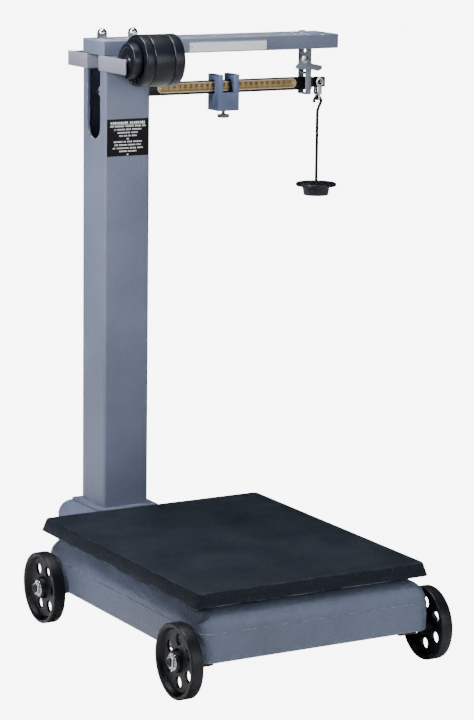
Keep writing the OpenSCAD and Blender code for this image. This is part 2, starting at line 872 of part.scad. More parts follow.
module rack_screws() {
    at_y = (slot_w / 2 + pillar_w / 2) / 2;
    in_row_frame() color([0.40, 0.42, 0.46])
    for (y = [-at_y, at_y])
        for (z = [9, rack_h - 9])
            rod_x([rack_back - 0.6, pillar_y + y, pillar_top - rack_h + z], 3.2, 0.6);
}

// Pegs welded to the ears
module weight_pegs() {
    in_row_frame() color([0.20, 0.21, 0.23])
    for (y = [-front_peg_y, rear_peg_y])
        rod_x([pillar_left, pillar_y + y, peg_z], peg_r, peg_end - pillar_left);
}

// Slotted disc that hangs on the peg: its slot runs from the middle down to the rim
module slotted_weight(x, t, r) {
    dish = 3;
    rim = 7;
    boss = 9;
    chamfer = 2.2;
    in_row_frame() color([0.09, 0.10, 0.12])
    translate([x, pillar_y - front_peg_y, peg_z])
        difference() {
            rotate([0, 90, 0])
                rotate_extrude()
                    polygon([[0, 0], [boss, 0], [boss + dish, dish], [r - rim - dish, dish],
                             [r - rim, 0], [r - chamfer, 0], [r, chamfer], [r, t - chamfer],
                             [r - chamfer, t], [0, t]]);
            rod_x([-cut, 0, 0], weight_slot, t + 2 * cut);
            translate([-cut, -weight_slot, -r - cut])
                cube([t + 2 * cut, 2 * weight_slot, r + cut]);
        }
}

module small_weight() slotted_weight(weight_x0, small_weight_t, small_weight_r);
module weight_1() slotted_weight(weight_x1, weight_1_t, weight_r);
module weight_2() slotted_weight(weight_x2, weight_2_t, weight_r);
module weight_3() slotted_weight(weight_x3, weight_3_t, weight_r);

// ---------------------------------------------------------------- shelf

module shelf_channel() {
    in_row_frame() color([0.47, 0.50, 0.56])
    difference() {
        translate([shelf_left, shelf_front, pillar_top])
            cube([shelf_right - shelf_left, shelf_w, shelf_h]);
        translate([shelf_left + shelf_t, shelf_front + shelf_t, pillar_top - cut])
            cube([shelf_right - shelf_left - 2 * shelf_t, shelf_w - 2 * shelf_t,
                  shelf_h - shelf_t + cut]);
        for (x = [stud_back_x, stud_front_x])
            translate([x, pillar_y + stud_y, shelf_under - cut])
                cylinder(r = stud_r, h = shelf_t + 2 * cut);
        translate([loop_x, pillar_y, shelf_under - cut])
            cylinder(r = stud_r, h = shelf_t + 2 * cut);
    }
}

module nameplate() {
    plate_t = 0.8;
    in_row_frame() color([0.80, 0.81, 0.84])
        translate([pillar_x + nameplate_x, shelf_front - plate_t, pillar_top + 1])
            cube([nameplate_l, plate_t, nameplate_h]);
}

module nameplate_rivets() {
    plate_t = 0.8;
    inset = 6;
    in_row_frame() color([0.55, 0.56, 0.58])
    for (x = [inset, nameplate_l - inset])
        rod_y([pillar_x + nameplate_x + x, shelf_front - plate_t - 1, pillar_top + 1 + nameplate_h / 2],
              2, 1);
}

// Plate under the shelf with two cheeks that hang on each side of the beam
module fulcrum_stand() {
    window = 9;
    cheek_low = pivot_z - 18;
    in_row_frame() color([0.52, 0.53, 0.56]) {
        difference() {
            translate([stud_back_x - 12, pillar_y - stand_gap - stand_t,
                       shelf_under - stand_plate_t])
                cube([stud_front_x - stud_back_x + 24, 2 * (stand_gap + stand_t), stand_plate_t]);
            for (x = [stud_back_x, stud_front_x])
                translate([x, pillar_y + stud_y, shelf_under - stand_plate_t - cut])
                    cylinder(r = stud_r, h = stand_plate_t + 2 * cut);
        }
        for (y = [-stand_gap - stand_t, stand_gap])
            plate_xz(pillar_y + y, pillar_y + y + stand_t)
                difference() {
                    translate([fulcrum_x - stand_half, cheek_low])
                        square([2 * stand_half, shelf_under - stand_plate_t - cheek_low]);
                    translate([fulcrum_x - window, pivot_z - 10])
                        square([2 * window, 24]);
                }
    }
}

module fulcrum_bearings() {
    half = 9;
    in_row_frame() color([0.70, 0.71, 0.73])
    for (y = [-stand_gap - stand_t, stand_gap])
        translate([fulcrum_x, 0, pivot_z])
            plate_xz(pillar_y + y, pillar_y + y + stand_t)
                polygon([[-half, -10], [half, -10], [half, 3], [0, -loose_gap], [-half, 3]]);
}

module shelf_studs() {
    in_row_frame() color([0.60, 0.61, 0.63]) {
        for (x = [stud_back_x, stud_front_x])
            translate([x, pillar_y + stud_y, shelf_under - stand_plate_t - 6])
                cylinder(r = stud_r, h = shelf_t + stand_plate_t + 6);
        translate([loop_x, pillar_y, shelf_under - loop_t - 4])
            cylinder(r = stud_r, h = shelf_t + loop_t + 4);
    }
}

module shelf_nuts() {
    in_row_frame() color([0.78, 0.79, 0.80]) {
        for (x = [stud_back_x, stud_front_x])
            translate([x, pillar_y + stud_y, shelf_top]) {
                cylinder(r = nut_r, h = nut_h, $fn = 6);
                translate([0, 0, nut_h]) intersection() {
                    sphere(nut_r * 0.86);
                    cylinder(r = nut_r, h = nut_r);
                }
            }
        translate([loop_x, pillar_y, shelf_top]) hex_head(15, 6);
    }
}

// Stirrup round the beam that limits its travel, with an ear for the latch
module trig_loop() {
    half = loop_gap + loop_t;
    ear_half = 15;
    in_row_frame() color([0.55, 0.57, 0.61]) {
        difference() {
            plate_yz(loop_x - loop_w / 2, loop_x + loop_w / 2)
                difference() {
                    translate([pillar_y - half, loop_bottom - loop_t])
                        square([2 * half, shelf_under - loop_bottom + loop_t]);
                    translate([pillar_y - loop_gap, loop_bottom])
                        square([2 * loop_gap, shelf_under - loop_t - loop_bottom]);
                }
            translate([loop_x, pillar_y, shelf_under - loop_t - cut])
                cylinder(r = stud_r, h = loop_t + 2 * cut);
        }
        translate([latch_x - 8, pillar_y - half, latch_z - ear_half])
            cube([loop_x - loop_w / 2 - latch_x + 8, loop_t, 2 * ear_half]);
        translate([loop_x - loop_w / 2, pillar_y - loop_gap, beam_z + beam_h / 2 + loop_play])
            cube([loop_w, 2 * loop_gap, loop_t]);
    }
}

module latch_screw() {
    in_row_frame() color([0.82, 0.83, 0.84]) {
        rod_y([latch_x, latch_y - latch_t - loose_gap, latch_z], 3.5,
              latch_t + 2 * loose_gap);
        rod_y([latch_x, latch_y - latch_t - loose_gap - 3.5, latch_z], 9, 3.5);
    }
}

module beam_latch() {
    pin = latch_pin_d * [cos(latch_pin_a), sin(latch_pin_a)];
    in_row_frame() color([0.50, 0.52, 0.55])
    translate([latch_x, 0, latch_z])
        difference() {
            union() {
                plate_xz(latch_y - latch_t, latch_y) {
                    circle(11);
                    polygon([[-9, 6], [8, 8], [20, -10], [38, -14], [45, -15], [46, -22],
                             [36, -27], [24, -24], [6, -23], [-10, -21], [-20, -20], [-20, -14],
                             [-12, -8]]);
                }
                rod_y([pin.x, latch_y - latch_t, pin.y], 3, pillar_y - latch_y + latch_t);
            }
            rod_y([0, latch_y - latch_t - cut, 0], 3.5 + run_gap, latch_t + 2 * cut);
        }
}

// ---------------------------------------------------------------- beam

module beam_bar() {
    tip_start = beam_tip - tip_l;
    tip_low = tip_z - tip_h / 2;
    in_row_frame() color([0.06, 0.06, 0.07])
    difference() {
        plate_xz(pillar_y - beam_t / 2, pillar_y + beam_t / 2) {
            translate([beam_butt, beam_z - beam_h / 2]) square([tip_start - beam_butt, beam_h]);
            translate([tip_start - cut, tip_low]) square([tip_l + cut, tip_h]);
        }
        beam_knife(fulcrum_x, -1, pivot_half);
        beam_knife(load_x, 1, load_pivot_half);
        beam_knife(nose_x, 1, nose_pivot_half);
    }
}

module scale_outline(l, h) {
    translate([h / 2, 0]) square([l - h, h]);
    for (x = [h / 2, l - h / 2])
        translate([x, h / 2]) circle(h / 2);
}

module scale_plate() {
    front = pillar_y - beam_t / 2;
    in_row_frame() color([0.72, 0.58, 0.33])
        plate_xz(front - scale_t, front)
            translate([scale_x, beam_z + scale_under - scale_h / 2])
                scale_outline(scale_l, scale_h);
}

module scale_rivets() {
    front = pillar_y - beam_t / 2 - scale_t;
    in_row_frame() color([0.60, 0.48, 0.28])
    for (x = [6, scale_l - 6])
        rod_y([scale_x + x, front - 0.3, beam_z + scale_under], 1.5, 0.3);
}

module fulcrum_pivot() {
    in_row_frame() color([0.66, 0.67, 0.69]) beam_knife(fulcrum_x, -1, pivot_half);
}

module load_pivot() {
    in_row_frame() color([0.66, 0.67, 0.69]) beam_knife(load_x, 1, load_pivot_half);
}

module nose_pivot() {
    in_row_frame() color([0.66, 0.67, 0.69]) beam_knife(nose_x, 1, nose_pivot_half);
}

module balance_screw() {
    in_row_frame() color([0.66, 0.60, 0.40])
        rod_x([beam_butt - balance_screw_l, pillar_y, beam_z], balance_screw_r, balance_screw_l);
}

module balance_weight() {
    mid = beam_butt - 2 - balance_play - balance_w / 2;
    in_row_frame() color([0.70, 0.58, 0.34])
    difference() {
        rod_x([mid - balance_w / 2, pillar_y, beam_z], balance_r, balance_w);
        rod_x([mid - balance_w, pillar_y, beam_z], balance_screw_r + run_gap, 2 * balance_w);
    }
}

module poise_block() {
    front = pillar_y - poise_w / 2;
    left = poise_mid - poise_l / 2;
    notch_bottom = poise_top - 38;
    in_row_frame() color([0.55, 0.62, 0.72])
    difference() {
        translate([left, front, poise_bottom]) cube([poise_l, poise_w, poise_h]);
        translate([poise_mid - poise_notch_w / 2, front - cut, notch_bottom])
            cube([poise_notch_w, poise_w + 2 * cut, 38 + cut]);
        translate([left - cut, pillar_y - poise_slot, beam_z - beam_h / 2 - loose_gap])
            cube([poise_l + 2 * cut, 2 * poise_slot, beam_h + 2 * loose_gap]);
        translate([poise_mid, pillar_y, poise_bottom - cut])
            cylinder(r = screw_r + run_gap, h = 30);
    }
}

module poise_screw() {
    in_row_frame() color([0.50, 0.52, 0.56])
    translate([poise_mid, pillar_y, poise_bottom - screw_drop]) {
        cylinder(r = screw_r, h = screw_drop + 26);
        translate([0, 0, -knob_h]) cylinder(r = knob_r, h = knob_h);
    }
}

// Two ringed plates on the nose pivot, joined below by a block with an eye
module nose_loop() {
    bridge_z = ring_z - 24;
    inner = clevis_y - clevis_t / 2;
    outer = clevis_y + clevis_t / 2;
    in_row_frame() color([0.76, 0.77, 0.79])
    translate([nose_x, pillar_y, 0]) {
        for (y = [-outer, inner])
            plate_xz(y, y + clevis_t)
                difference() {
                    union() {
                        translate([0, ring_z]) circle(ring_r);
                        translate([-4.5, bridge_z - 4]) square([9, ring_z - bridge_z + 4]);
                    }
                    translate([0, ring_z]) circle(ring_hole_r);
                }
        translate([-4.5, -outer, bridge_z - 4]) cube([9, 2 * outer, 4]);
        plate_yz(-2.5, 2.5)
            difference() {
                union() {
                    translate([0, eye_z]) circle(8);
                    translate([-5, eye_z]) square([10, bridge_z - eye_z - 1]);
                }
                translate([0, eye_z]) circle(eye_hole_r);
            }
    }
}

// Hooked rod: an arc over the eye, then a slanting stretch back to the straight rod
module hanger_rod() {
    arc_end = hook_r * [cos(hook_a), -sin(hook_a)];
    bend = [0, -hook_r - 12];
    slant = bend - arc_end;
    rod_l = hook_z + bend.y - plate_top + hanger_plate_t + hub_h;
    upset = 0.2;    // the rod is a little thicker where it is bent
    in_row_frame() color([0.07, 0.07, 0.08])
    translate([nose_x, pillar_y, hook_z]) {
        rotate([90, 0, 0]) rotate([0, 0, -hook_a])
            rotate_extrude(angle = 180 + 2 * hook_a)
                translate([hook_r, 0]) circle(hanger_rod_r);
        translate([-arc_end.x, 0, arc_end.y]) sphere(hanger_rod_r + upset);
        translate([arc_end.x, 0, arc_end.y]) {
            sphere(hanger_rod_r + upset);
            rotate([0, atan2(slant.x, slant.y), 0])
                cylinder(r = hanger_rod_r, h = norm(slant));
        }
        translate([0, 0, bend.y]) sphere(hanger_rod_r + upset);
        translate([0, 0, bend.y - rod_l]) cylinder(r = hanger_rod_r, h = rod_l);
    }
}

module hanger_plate() {
    rim = 1.5;
    in_row_frame() color([0.08, 0.09, 0.11])
    translate([nose_x, pillar_y, plate_top])
        rotate_extrude()
            polygon([[hanger_rod_r, -hanger_plate_t - hub_h], [27, -hanger_plate_t - hub_h],
                     [30.5, -hanger_plate_t], [hanger_plate_r - rim, -hanger_plate_t],
                     [hanger_plate_r, rim - hanger_plate_t], [hanger_plate_r, -rim],
                     [hanger_plate_r - rim, 0], [hanger_rod_r, 0]]);
}

// ---------------------------------------------------------------- steelyard rod

// Two plates on the load pivot, joined under the beam
module load_loop() {
    hole_r = 6;
    inner = 7;
    outer = 11;
    in_row_frame() color([0.55, 0.56, 0.59])
    translate([load_x, pillar_y, 0]) {
        for (y = [-outer, inner])
            plate_xz(y, y + outer - inner)
                difference() {
                    round_rect([-8, loop_low], [8, pivot_z + 8], 7);
                    translate([0, pivot_z - hole_r + loose_gap]) circle(hole_r);
                }
        translate([-8, -inner - 0.01, loop_low]) cube([16, 2 * inner + 0.02, 9]);
    }
}

module steelyard_rod() {
    in_row_frame() color([0.45, 0.46, 0.48])
        translate([load_x, pillar_y, shackle_top])
            cylinder(r = rod_r, h = loop_low - shackle_top);
}

// Fork at the rod's foot whose cheeks pass under the long lever's nose pivot
module rod_shackle() {
    hole_r = 7;
    inner = lever_w / 2 + prong_gap;
    outer = inner + 5;
    in_row_frame() color([0.50, 0.51, 0.53])
    translate([pillar_x, pillar_y, 0]) {
        for (x = [-outer, inner])
            plate_yz(x, x + outer - inner)
                difference() {
                    round_rect([-11, lever_z - 14], [11, shackle_top], 8);
                    translate([0, lever_z + hole_r - loose_gap]) circle(hole_r);
                }
        translate([-inner - 0.01, -8, shackle_top - 10]) cube([2 * inner + 0.02, 16, 10]);
    }
}

// ---------------------------------------------------------------- assembly

base_casting();
front_axle();
rear_axle();
axle_brackets();
bracket_bolts();
axle_spacers();
axle_washers();
axle_nuts();
lever_stands();
stand_bolts();
pillar();
pillar_foot();
foot_bolts();
instruction_label();
weight_rack();
rack_screws();
weight_pegs();
shelf_channel();
nameplate();
nameplate_rivets();
fulcrum_stand();
fulcrum_bearings();
shelf_studs();
shelf_nuts();
trig_loop();
latch_screw();
wheel_front_left();
wheel_front_right();
wheel_rear_left();
wheel_rear_right();
beam_bar();
scale_plate();
scale_rivets();
fulcrum_pivot();
load_pivot();
nose_pivot();
balance_screw();
balance_weight();
poise_block();
poise_screw();
nose_loop();
hanger_rod();
hanger_plate();
beam_latch();
small_weight();
weight_1();
weight_2();
weight_3();
steelyard_rod();
load_loop();
rod_shackle();
long_lever();
long_lever_pivots();
short_lever();
short_lever_pivots();
lever_link();
weighbridge();
weighbridge_bearings();
platform();
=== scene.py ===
"""Portable platform beam scale: its visible pieces, finishes, floor, lights and camera"""

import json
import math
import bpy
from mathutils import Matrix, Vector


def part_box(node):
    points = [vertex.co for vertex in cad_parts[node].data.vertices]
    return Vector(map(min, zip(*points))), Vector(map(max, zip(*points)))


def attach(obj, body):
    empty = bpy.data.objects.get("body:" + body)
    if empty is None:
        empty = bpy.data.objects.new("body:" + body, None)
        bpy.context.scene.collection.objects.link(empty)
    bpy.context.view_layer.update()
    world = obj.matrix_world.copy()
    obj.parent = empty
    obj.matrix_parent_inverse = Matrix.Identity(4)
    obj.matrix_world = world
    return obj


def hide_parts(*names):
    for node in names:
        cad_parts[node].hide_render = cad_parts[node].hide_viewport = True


bl_info = {
    "name": "Platform beam scale",
    "version": (1, 0, 0),
    "blender": (4, 5, 0),
    "location": "View3D > Sidebar > Beam scale",
    "description": "Builds the pieces and finishes of a wheeled platform beam scale",
    "category": "Object",
}

import bmesh
import bpy
from bpy.props import FloatProperty, FloatVectorProperty, IntProperty, PointerProperty
from bpy.types import Operator, Panel, PropertyGroup
from mathutils import Matrix, Vector

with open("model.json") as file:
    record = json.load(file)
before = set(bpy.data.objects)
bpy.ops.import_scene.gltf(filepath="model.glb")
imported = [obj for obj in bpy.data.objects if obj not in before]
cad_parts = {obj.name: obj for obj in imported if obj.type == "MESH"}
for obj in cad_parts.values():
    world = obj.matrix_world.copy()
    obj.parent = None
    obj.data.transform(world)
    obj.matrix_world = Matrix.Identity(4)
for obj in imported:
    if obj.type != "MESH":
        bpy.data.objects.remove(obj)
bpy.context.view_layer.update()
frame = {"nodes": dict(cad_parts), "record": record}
NODE_BODY = {n: b for b, names in frame["record"]["behaviour"]["bodies"].items() for n in names}
FACING_FRONT = Matrix(((1, 0, 0), (0, 0, -1), (0, 1, 0)))
ALONG_X = Matrix(((0, 0, 1), (0, 1, 0), (-1, 0, 0)))
ALONG_Y = Matrix(((1, 0, 0), (0, 0, 1), (0, -1, 0)))
UPRIGHT = Matrix.Identity(3)


# ---------------------------------------------------------------- sizes and colours


def length_of(label, words, value):
    return FloatProperty(name=label, description=words, default=value, unit="LENGTH")


def colour_of(label, words, value):
    return FloatVectorProperty(name=label, description=words, subtype="COLOR", size=3, default=value)


class ScaleSizes(PropertyGroup):
    """Sizes of the scale's visible details"""

    shoulder: length_of("Shoulder", "Radius of the base's top edge", 0.042)
    lip: length_of("Lip", "Step between the skirt and the shoulder", 0.002)
    base_length: length_of("Base length", "Wheeled base, without the pillar's boss", 0.674)
    base_wall: length_of("Base wall", "Thickness of the base casting", 0.008)
    ledge: length_of("Ledge", "Width of the base's top ledge", 0.060)
    platform_draft: length_of("Platform draft", "How far the platform's foot stands out", 0.007)
    platform_skin: length_of("Platform skin", "Thickness of the platform's top", 0.012)
    pillar_wall: length_of("Pillar wall", "Thickness of the pillar's walls", 0.005)
    pillar_corner: length_of("Pillar corner", "Radius of the pillar's corners", 0.006)
    slot_width: length_of("Slot width", "Width of the slots in the pillar", 0.058)
    slot_length: length_of("Slot length", "Length of the pillar's access slot", 0.176)
    beam_slot_length: length_of("Beam slot length", "Length of the slot that the beam leaves by", 0.112)
    sheet: length_of("Shelf sheet", "Thickness of the shelf's sheet steel", 0.003)
    fold: length_of("Shelf fold", "Outside radius of the shelf's folds", 0.0025)
    wheel_holes: IntProperty(name="Wheel holes", description="Lightening holes in each wheel", default=6)
    wheel_hole: length_of("Wheel hole", "Radius of a lightening hole", 0.011)
    weight_slot: length_of("Weight slot", "Half the width of a weight's slot", 0.0044)
    edge: length_of("Eased edge", "Width of the eased edges on small pieces", 0.0007)
    division: length_of("Division", "Distance between two marks on the beam", 0.00268)
    divisions: IntProperty(name="Divisions", description="Marks on the beam's plate", default=120)
    numbered: IntProperty(name="Numbered", description="Marks between two numbers", default=5)


class ScaleColours(PropertyGroup):
    """Colours of the scale's finishes"""

    enamel: colour_of("Enamel", "Blue-grey enamel of the castings", (0.118, 0.143, 0.212))
    sheet_enamel: colour_of("Sheet enamel", "Enamel of the pillar and shelf", (0.128, 0.150, 0.222))
    rack_enamel: colour_of("Rack enamel", "Lighter enamel of the weight rack", (0.215, 0.220, 0.280))
    black: colour_of("Black enamel", "Enamel of the platform", (0.0060, 0.0100, 0.0170))
    weight_black: colour_of("Weight black", "Enamel of the weights", (0.0048, 0.0066, 0.0115))
    brass: colour_of("Brass", "Field of the beam's plate", (0.400, 0.275, 0.120))
    border: colour_of("Border", "Border of the beam's plate", (0.780, 0.700, 0.500))
    ink: colour_of("Ink", "Marks and numbers", (0.010, 0.007, 0.006))
    print_white: colour_of("Print", "Bars on the black label", (0.850, 0.850, 0.870))
    primer: colour_of("Primer", "Red primer of the axle brackets", (0.090, 0.012, 0.012))
    floor: colour_of("Floor", "Floor of the studio", (0.860, 0.860, 0.865))


def sizes():
    return bpy.context.scene.scale_sizes


def colours():
    return bpy.context.scene.scale_colours


# ---------------------------------------------------------------- finishes


def node_group(name, inputs, outputs):
    """An empty shader group; inputs are (name, default), outputs (name, socket type)"""
    group = bpy.data.node_groups.new(name, "ShaderNodeTree")
    for label, value in inputs:
        kind = "NodeSocketFloat" if isinstance(value, float) else "NodeSocketColor"
        socket = group.interface.new_socket(label, in_out="INPUT", socket_type=kind)
        socket.default_value = value
    for label, kind in outputs:
        group.interface.new_socket(label, in_out="OUTPUT", socket_type=kind)
    return group, group.nodes.new("NodeGroupInput"), group.nodes.new("NodeGroupOutput")


def noise(tree, where, size, detail=3.0, roughness=0.5):
    """A noise texture; size is the texture's scale, a number or a socket"""
    tex = tree.nodes.new("ShaderNodeTexNoise")
    tex.inputs["Detail"].default_value = detail
    tex.inputs["Roughness"].default_value = roughness
    tree.links.new(where, tex.inputs["Vector"])
    if isinstance(size, (int, float)):
        tex.inputs["Scale"].default_value = size
    else:
        tree.links.new(size, tex.inputs["Scale"])
    return tex.outputs["Fac"]


def spread(tree, value, low, high, to_low=0.0, to_high=1.0):
    """value from low..high to to_low..to_high, clamped"""
    step = tree.nodes.new("ShaderNodeMapRange")
    tree.links.new(value, step.inputs["Value"])
    for label, number in zip(("From Min", "From Max", "To Min", "To Max"), (low, high, to_low, to_high)):
        step.inputs[label].default_value = number
    return step.outputs["Result"]


def sums(tree, operation, a, b):
    step = tree.nodes.new("ShaderNodeMath")
    step.operation = operation
    for socket, value in zip(step.inputs, (a, b)):
        if isinstance(value, (int, float)):
            socket.default_value = value
        else:
            tree.links.new(value, socket)
    return step.outputs[0]


def cast_grain_group():
    """Pebbled skin of enamel over sand-cast iron"""
    group, into, out = node_group(
        "Cast grain",
        [("Pebble Scale", 500.0), ("Pebble Share", 0.5), ("Cloud Scale", 6.0)],
        [("Height", "NodeSocketFloat"), ("Clouds", "NodeSocketFloat"), ("Specks", "NodeSocketFloat")],
    )
    place = group.nodes.new("ShaderNodeTexCoord").outputs["Object"]
    cells = group.nodes.new("ShaderNodeTexVoronoi")
    cells.feature = "SMOOTH_F1"
    group.links.new(place, cells.inputs["Vector"])
    group.links.new(into.outputs["Pebble Scale"], cells.inputs["Scale"])
    waves = noise(group, place, sums(group, "MULTIPLY", into.outputs["Pebble Scale"], 0.45), 4.0, 0.6)
    pebbles = sums(group, "MULTIPLY", cells.outputs["Distance"], into.outputs["Pebble Share"])
    group.links.new(sums(group, "ADD", waves, pebbles), out.inputs["Height"])
    clouds = noise(group, place, into.outputs["Cloud Scale"], 5.0, 0.55)
    group.links.new(spread(group, clouds, 0.32, 0.68), out.inputs["Clouds"])
    fine = noise(group, place, sums(group, "MULTIPLY", into.outputs["Pebble Scale"], 0.8), 2.0)
    group.links.new(spread(group, fine, 0.60, 0.72), out.inputs["Specks"])
    return group


def rubbed_edges_group():
    """Mask of the outside edges where the finish has rubbed through, and of a painted highlight along
    them
    """
    group, into, out = node_group(
        "Edge wear and painted highlight",
        [("Radius", 0.0015), ("Breaks", 90.0), ("Reach", 0.5)],
        [("Mask", "NodeSocketFloat")],
    )
    rounded = group.nodes.new("ShaderNodeBevel")
    rounded.samples = 4
    group.links.new(into.outputs["Radius"], rounded.inputs["Radius"])
    true = group.nodes.new("ShaderNodeNewGeometry").outputs["Normal"]
    dot = group.nodes.new("ShaderNodeVectorMath")
    dot.operation = "DOT_PRODUCT"
    group.links.new(rounded.outputs["Normal"], dot.inputs[0])
    group.links.new(true, dot.inputs[1])
    edge = spread(group, dot.outputs["Value"], 0.99, 0.85)
    place = group.nodes.new("ShaderNodeTexCoord").outputs["Object"]
    patches = spread(group, noise(group, place, into.outputs["Breaks"], 4.0, 0.65), 0.42, 0.60)
    edge_wear_and_highlight_mask = sums(group, "MULTIPLY", edge, patches)
    group.links.new(sums(group, "MULTIPLY", edge_wear_and_highlight_mask, into.outputs["Reach"]), out.inputs["Mask"])
    return group


def settled_dust_group():
    """Mask of pale dust on surfaces that face up"""
    group, into, out = node_group(
        "Settled dust", [("Amount", 0.2), ("Patch Scale", 9.0)], [("Mask", "NodeSocketFloat")]
    )
    split = group.nodes.new("ShaderNodeSeparateXYZ")
    group.links.new(group.nodes.new("ShaderNodeNewGeometry").outputs["Normal"], split.inputs[0])
    place = group.nodes.new("ShaderNodeTexCoord").outputs["Object"]
    patches = spread(group, noise(group, place, into.outputs["Patch Scale"], 6.0, 0.6), 0.35, 0.75)
    lying = sums(group, "MULTIPLY", spread(group, split.outputs["Z"], 0.5, 1.0), patches)
    group.links.new(sums(group, "MULTIPLY", lying, into.outputs["Amount"]), out.inputs["Mask"])
    return group


def brushed_group():
    """Fine lines of drawn or brushed metal along X"""
    group, into, out = node_group(
        "Brushed lines",
        [("Line Scale", 900.0), ("Stretch", 0.03)],
        [("Height", "NodeSocketFloat"), ("Sheen Lines", "NodeSocketFloat")],
    )
    place = group.nodes.new("ShaderNodeTexCoord").outputs["Object"]
    split = group.nodes.new("ShaderNodeSeparateXYZ")
    join = group.nodes.new("ShaderNodeCombineXYZ")
    group.links.new(place, split.inputs[0])
    group.links.new(sums(group, "MULTIPLY", split.outputs["X"], into.outputs["Stretch"]), join.inputs[0])
    group.links.new(split.outputs["Y"], join.inputs[1])
    group.links.new(split.outputs["Z"], join.inputs[2])
    lines = noise(group, join.outputs[0], into.outputs["Line Scale"], 2.0)
    group.links.new(lines, out.inputs["Height"])
    group.links.new(spread(group, lines, 0.3, 0.7), out.inputs["Sheen Lines"])
    return group


def effect(tree, name, **values):
    """A shader group placed in a finish with its own values"""
    step = tree.nodes.new("ShaderNodeGroup")
    step.node_tree = bpy.data.node_groups[name]
    for label, value in values.items():
        step.inputs[label.replace("_", " ")].default_value = value
    return step.outputs


def tint(tree, base, other, mask):
    """base colour turned towards other where the mask is; colours are values or sockets"""
    mix = tree.nodes.new("ShaderNodeMix")
    mix.data_type = "RGBA"
    tree.links.new(mask, mix.inputs["Factor"])
    for socket, value in ((mix.inputs[6], base), (mix.inputs[7], other)):
        if isinstance(value, bpy.types.NodeSocket):
            tree.links.new(value, socket)
        else:
            socket.default_value = (*value, 1.0)
    return mix.outputs[2]


def start_finish(name, roughness, metallic=0.0, specular=0.5):
    material = bpy.data.materials.new(name)
    material.use_nodes = True
    tree = material.node_tree
    shader = tree.nodes["Principled BSDF"]
    shader.inputs["Roughness"].default_value = roughness
    shader.inputs["Metallic"].default_value = metallic
    shader.inputs["Specular IOR Level"].default_value = specular
    return material, tree, shader


def bump(tree, shader, height, depth):
    step = tree.nodes.new("ShaderNodeBump")
    step.inputs["Distance"].default_value = depth
    step.inputs["Strength"].default_value = 1.0
    tree.links.new(height, step.inputs["Height"])
    tree.links.new(step.outputs["Normal"], shader.inputs["Normal"])


def shade(colour, factor):
    return tuple(min(1.0, c * factor) for c in colour)


def enamel(name, colour, pebble, depth, rough=(0.34, 0.50), share=0.5, cloud=0.12, edge_wear_and_highlight=0.5,
           bare_metal_and_highlight=(0.42, 0.44, 0.47), dust=0.12, radius=0.0015, specks=0.10, specular=0.5,
           speck_tone=1.5, breaks=90.0):
    """Enamel over iron or steel: clouded colour, pebbled skin, rubbed edges with a painted highlight
    along them, and a little dust
    """
    material, tree, shader = start_finish(name, rough[0], specular=specular)
    grain = effect(tree, "Cast grain", Pebble_Scale=pebble, Pebble_Share=share, Cloud_Scale=7.0)
    tone = tint(tree, shade(colour, 1 - cloud), shade(colour, 1 + cloud), grain["Clouds"])
    tone = tint(tree, tone, shade(colour, speck_tone), sums(tree, "MULTIPLY", grain["Specks"], specks))
    settled = effect(tree, "Settled dust", Amount=dust, Patch_Scale=9.0)
    tone = tint(tree, tone, (0.42, 0.43, 0.45), settled["Mask"])
    # Edge colour: worn-through enamel, and also a painted highlight line along the edges of the platform,
    # the weights and the base's lip
    worn_and_highlit_edges = effect(tree, "Edge wear and painted highlight", Radius=radius, Breaks=breaks, Reach=edge_wear_and_highlight)
    tone = tint(tree, tone, bare_metal_and_highlight, worn_and_highlit_edges["Mask"])
    tree.links.new(tone, shader.inputs["Base Color"])
    tree.links.new(spread(tree, grain["Clouds"], 0.0, 1.0, *rough), shader.inputs["Roughness"])
    bump(tree, shader, grain["Height"], depth)
    return material


def plated(name, colour, rough, depth=0.00004, stain=0.12):
    """Plated or bare metal with fine lines and faint stains"""
    material, tree, shader = start_finish(name, rough[0], metallic=1.0)
    brushed = effect(tree, "Brushed lines", Line_Scale=900.0, Stretch=0.03)
    grain = effect(tree, "Cast grain", Pebble_Scale=260.0, Cloud_Scale=60.0)
    tone = tint(tree, shade(colour, 1 - stain), shade(colour, 1 + stain * 0.4), grain["Clouds"])
    worn_and_highlit_edges = effect(tree, "Edge wear and painted highlight", Radius=0.0008, Breaks=160.0, Reach=0.5)
    tone = tint(tree, tone, shade(colour, 1.35), worn_and_highlit_edges["Mask"])
    tree.links.new(tone, shader.inputs["Base Color"])
    tree.links.new(spread(tree, brushed["Sheen Lines"], 0.0, 1.0, *rough), shader.inputs["Roughness"])
    bump(tree, shader, brushed["Height"], depth)
    return material


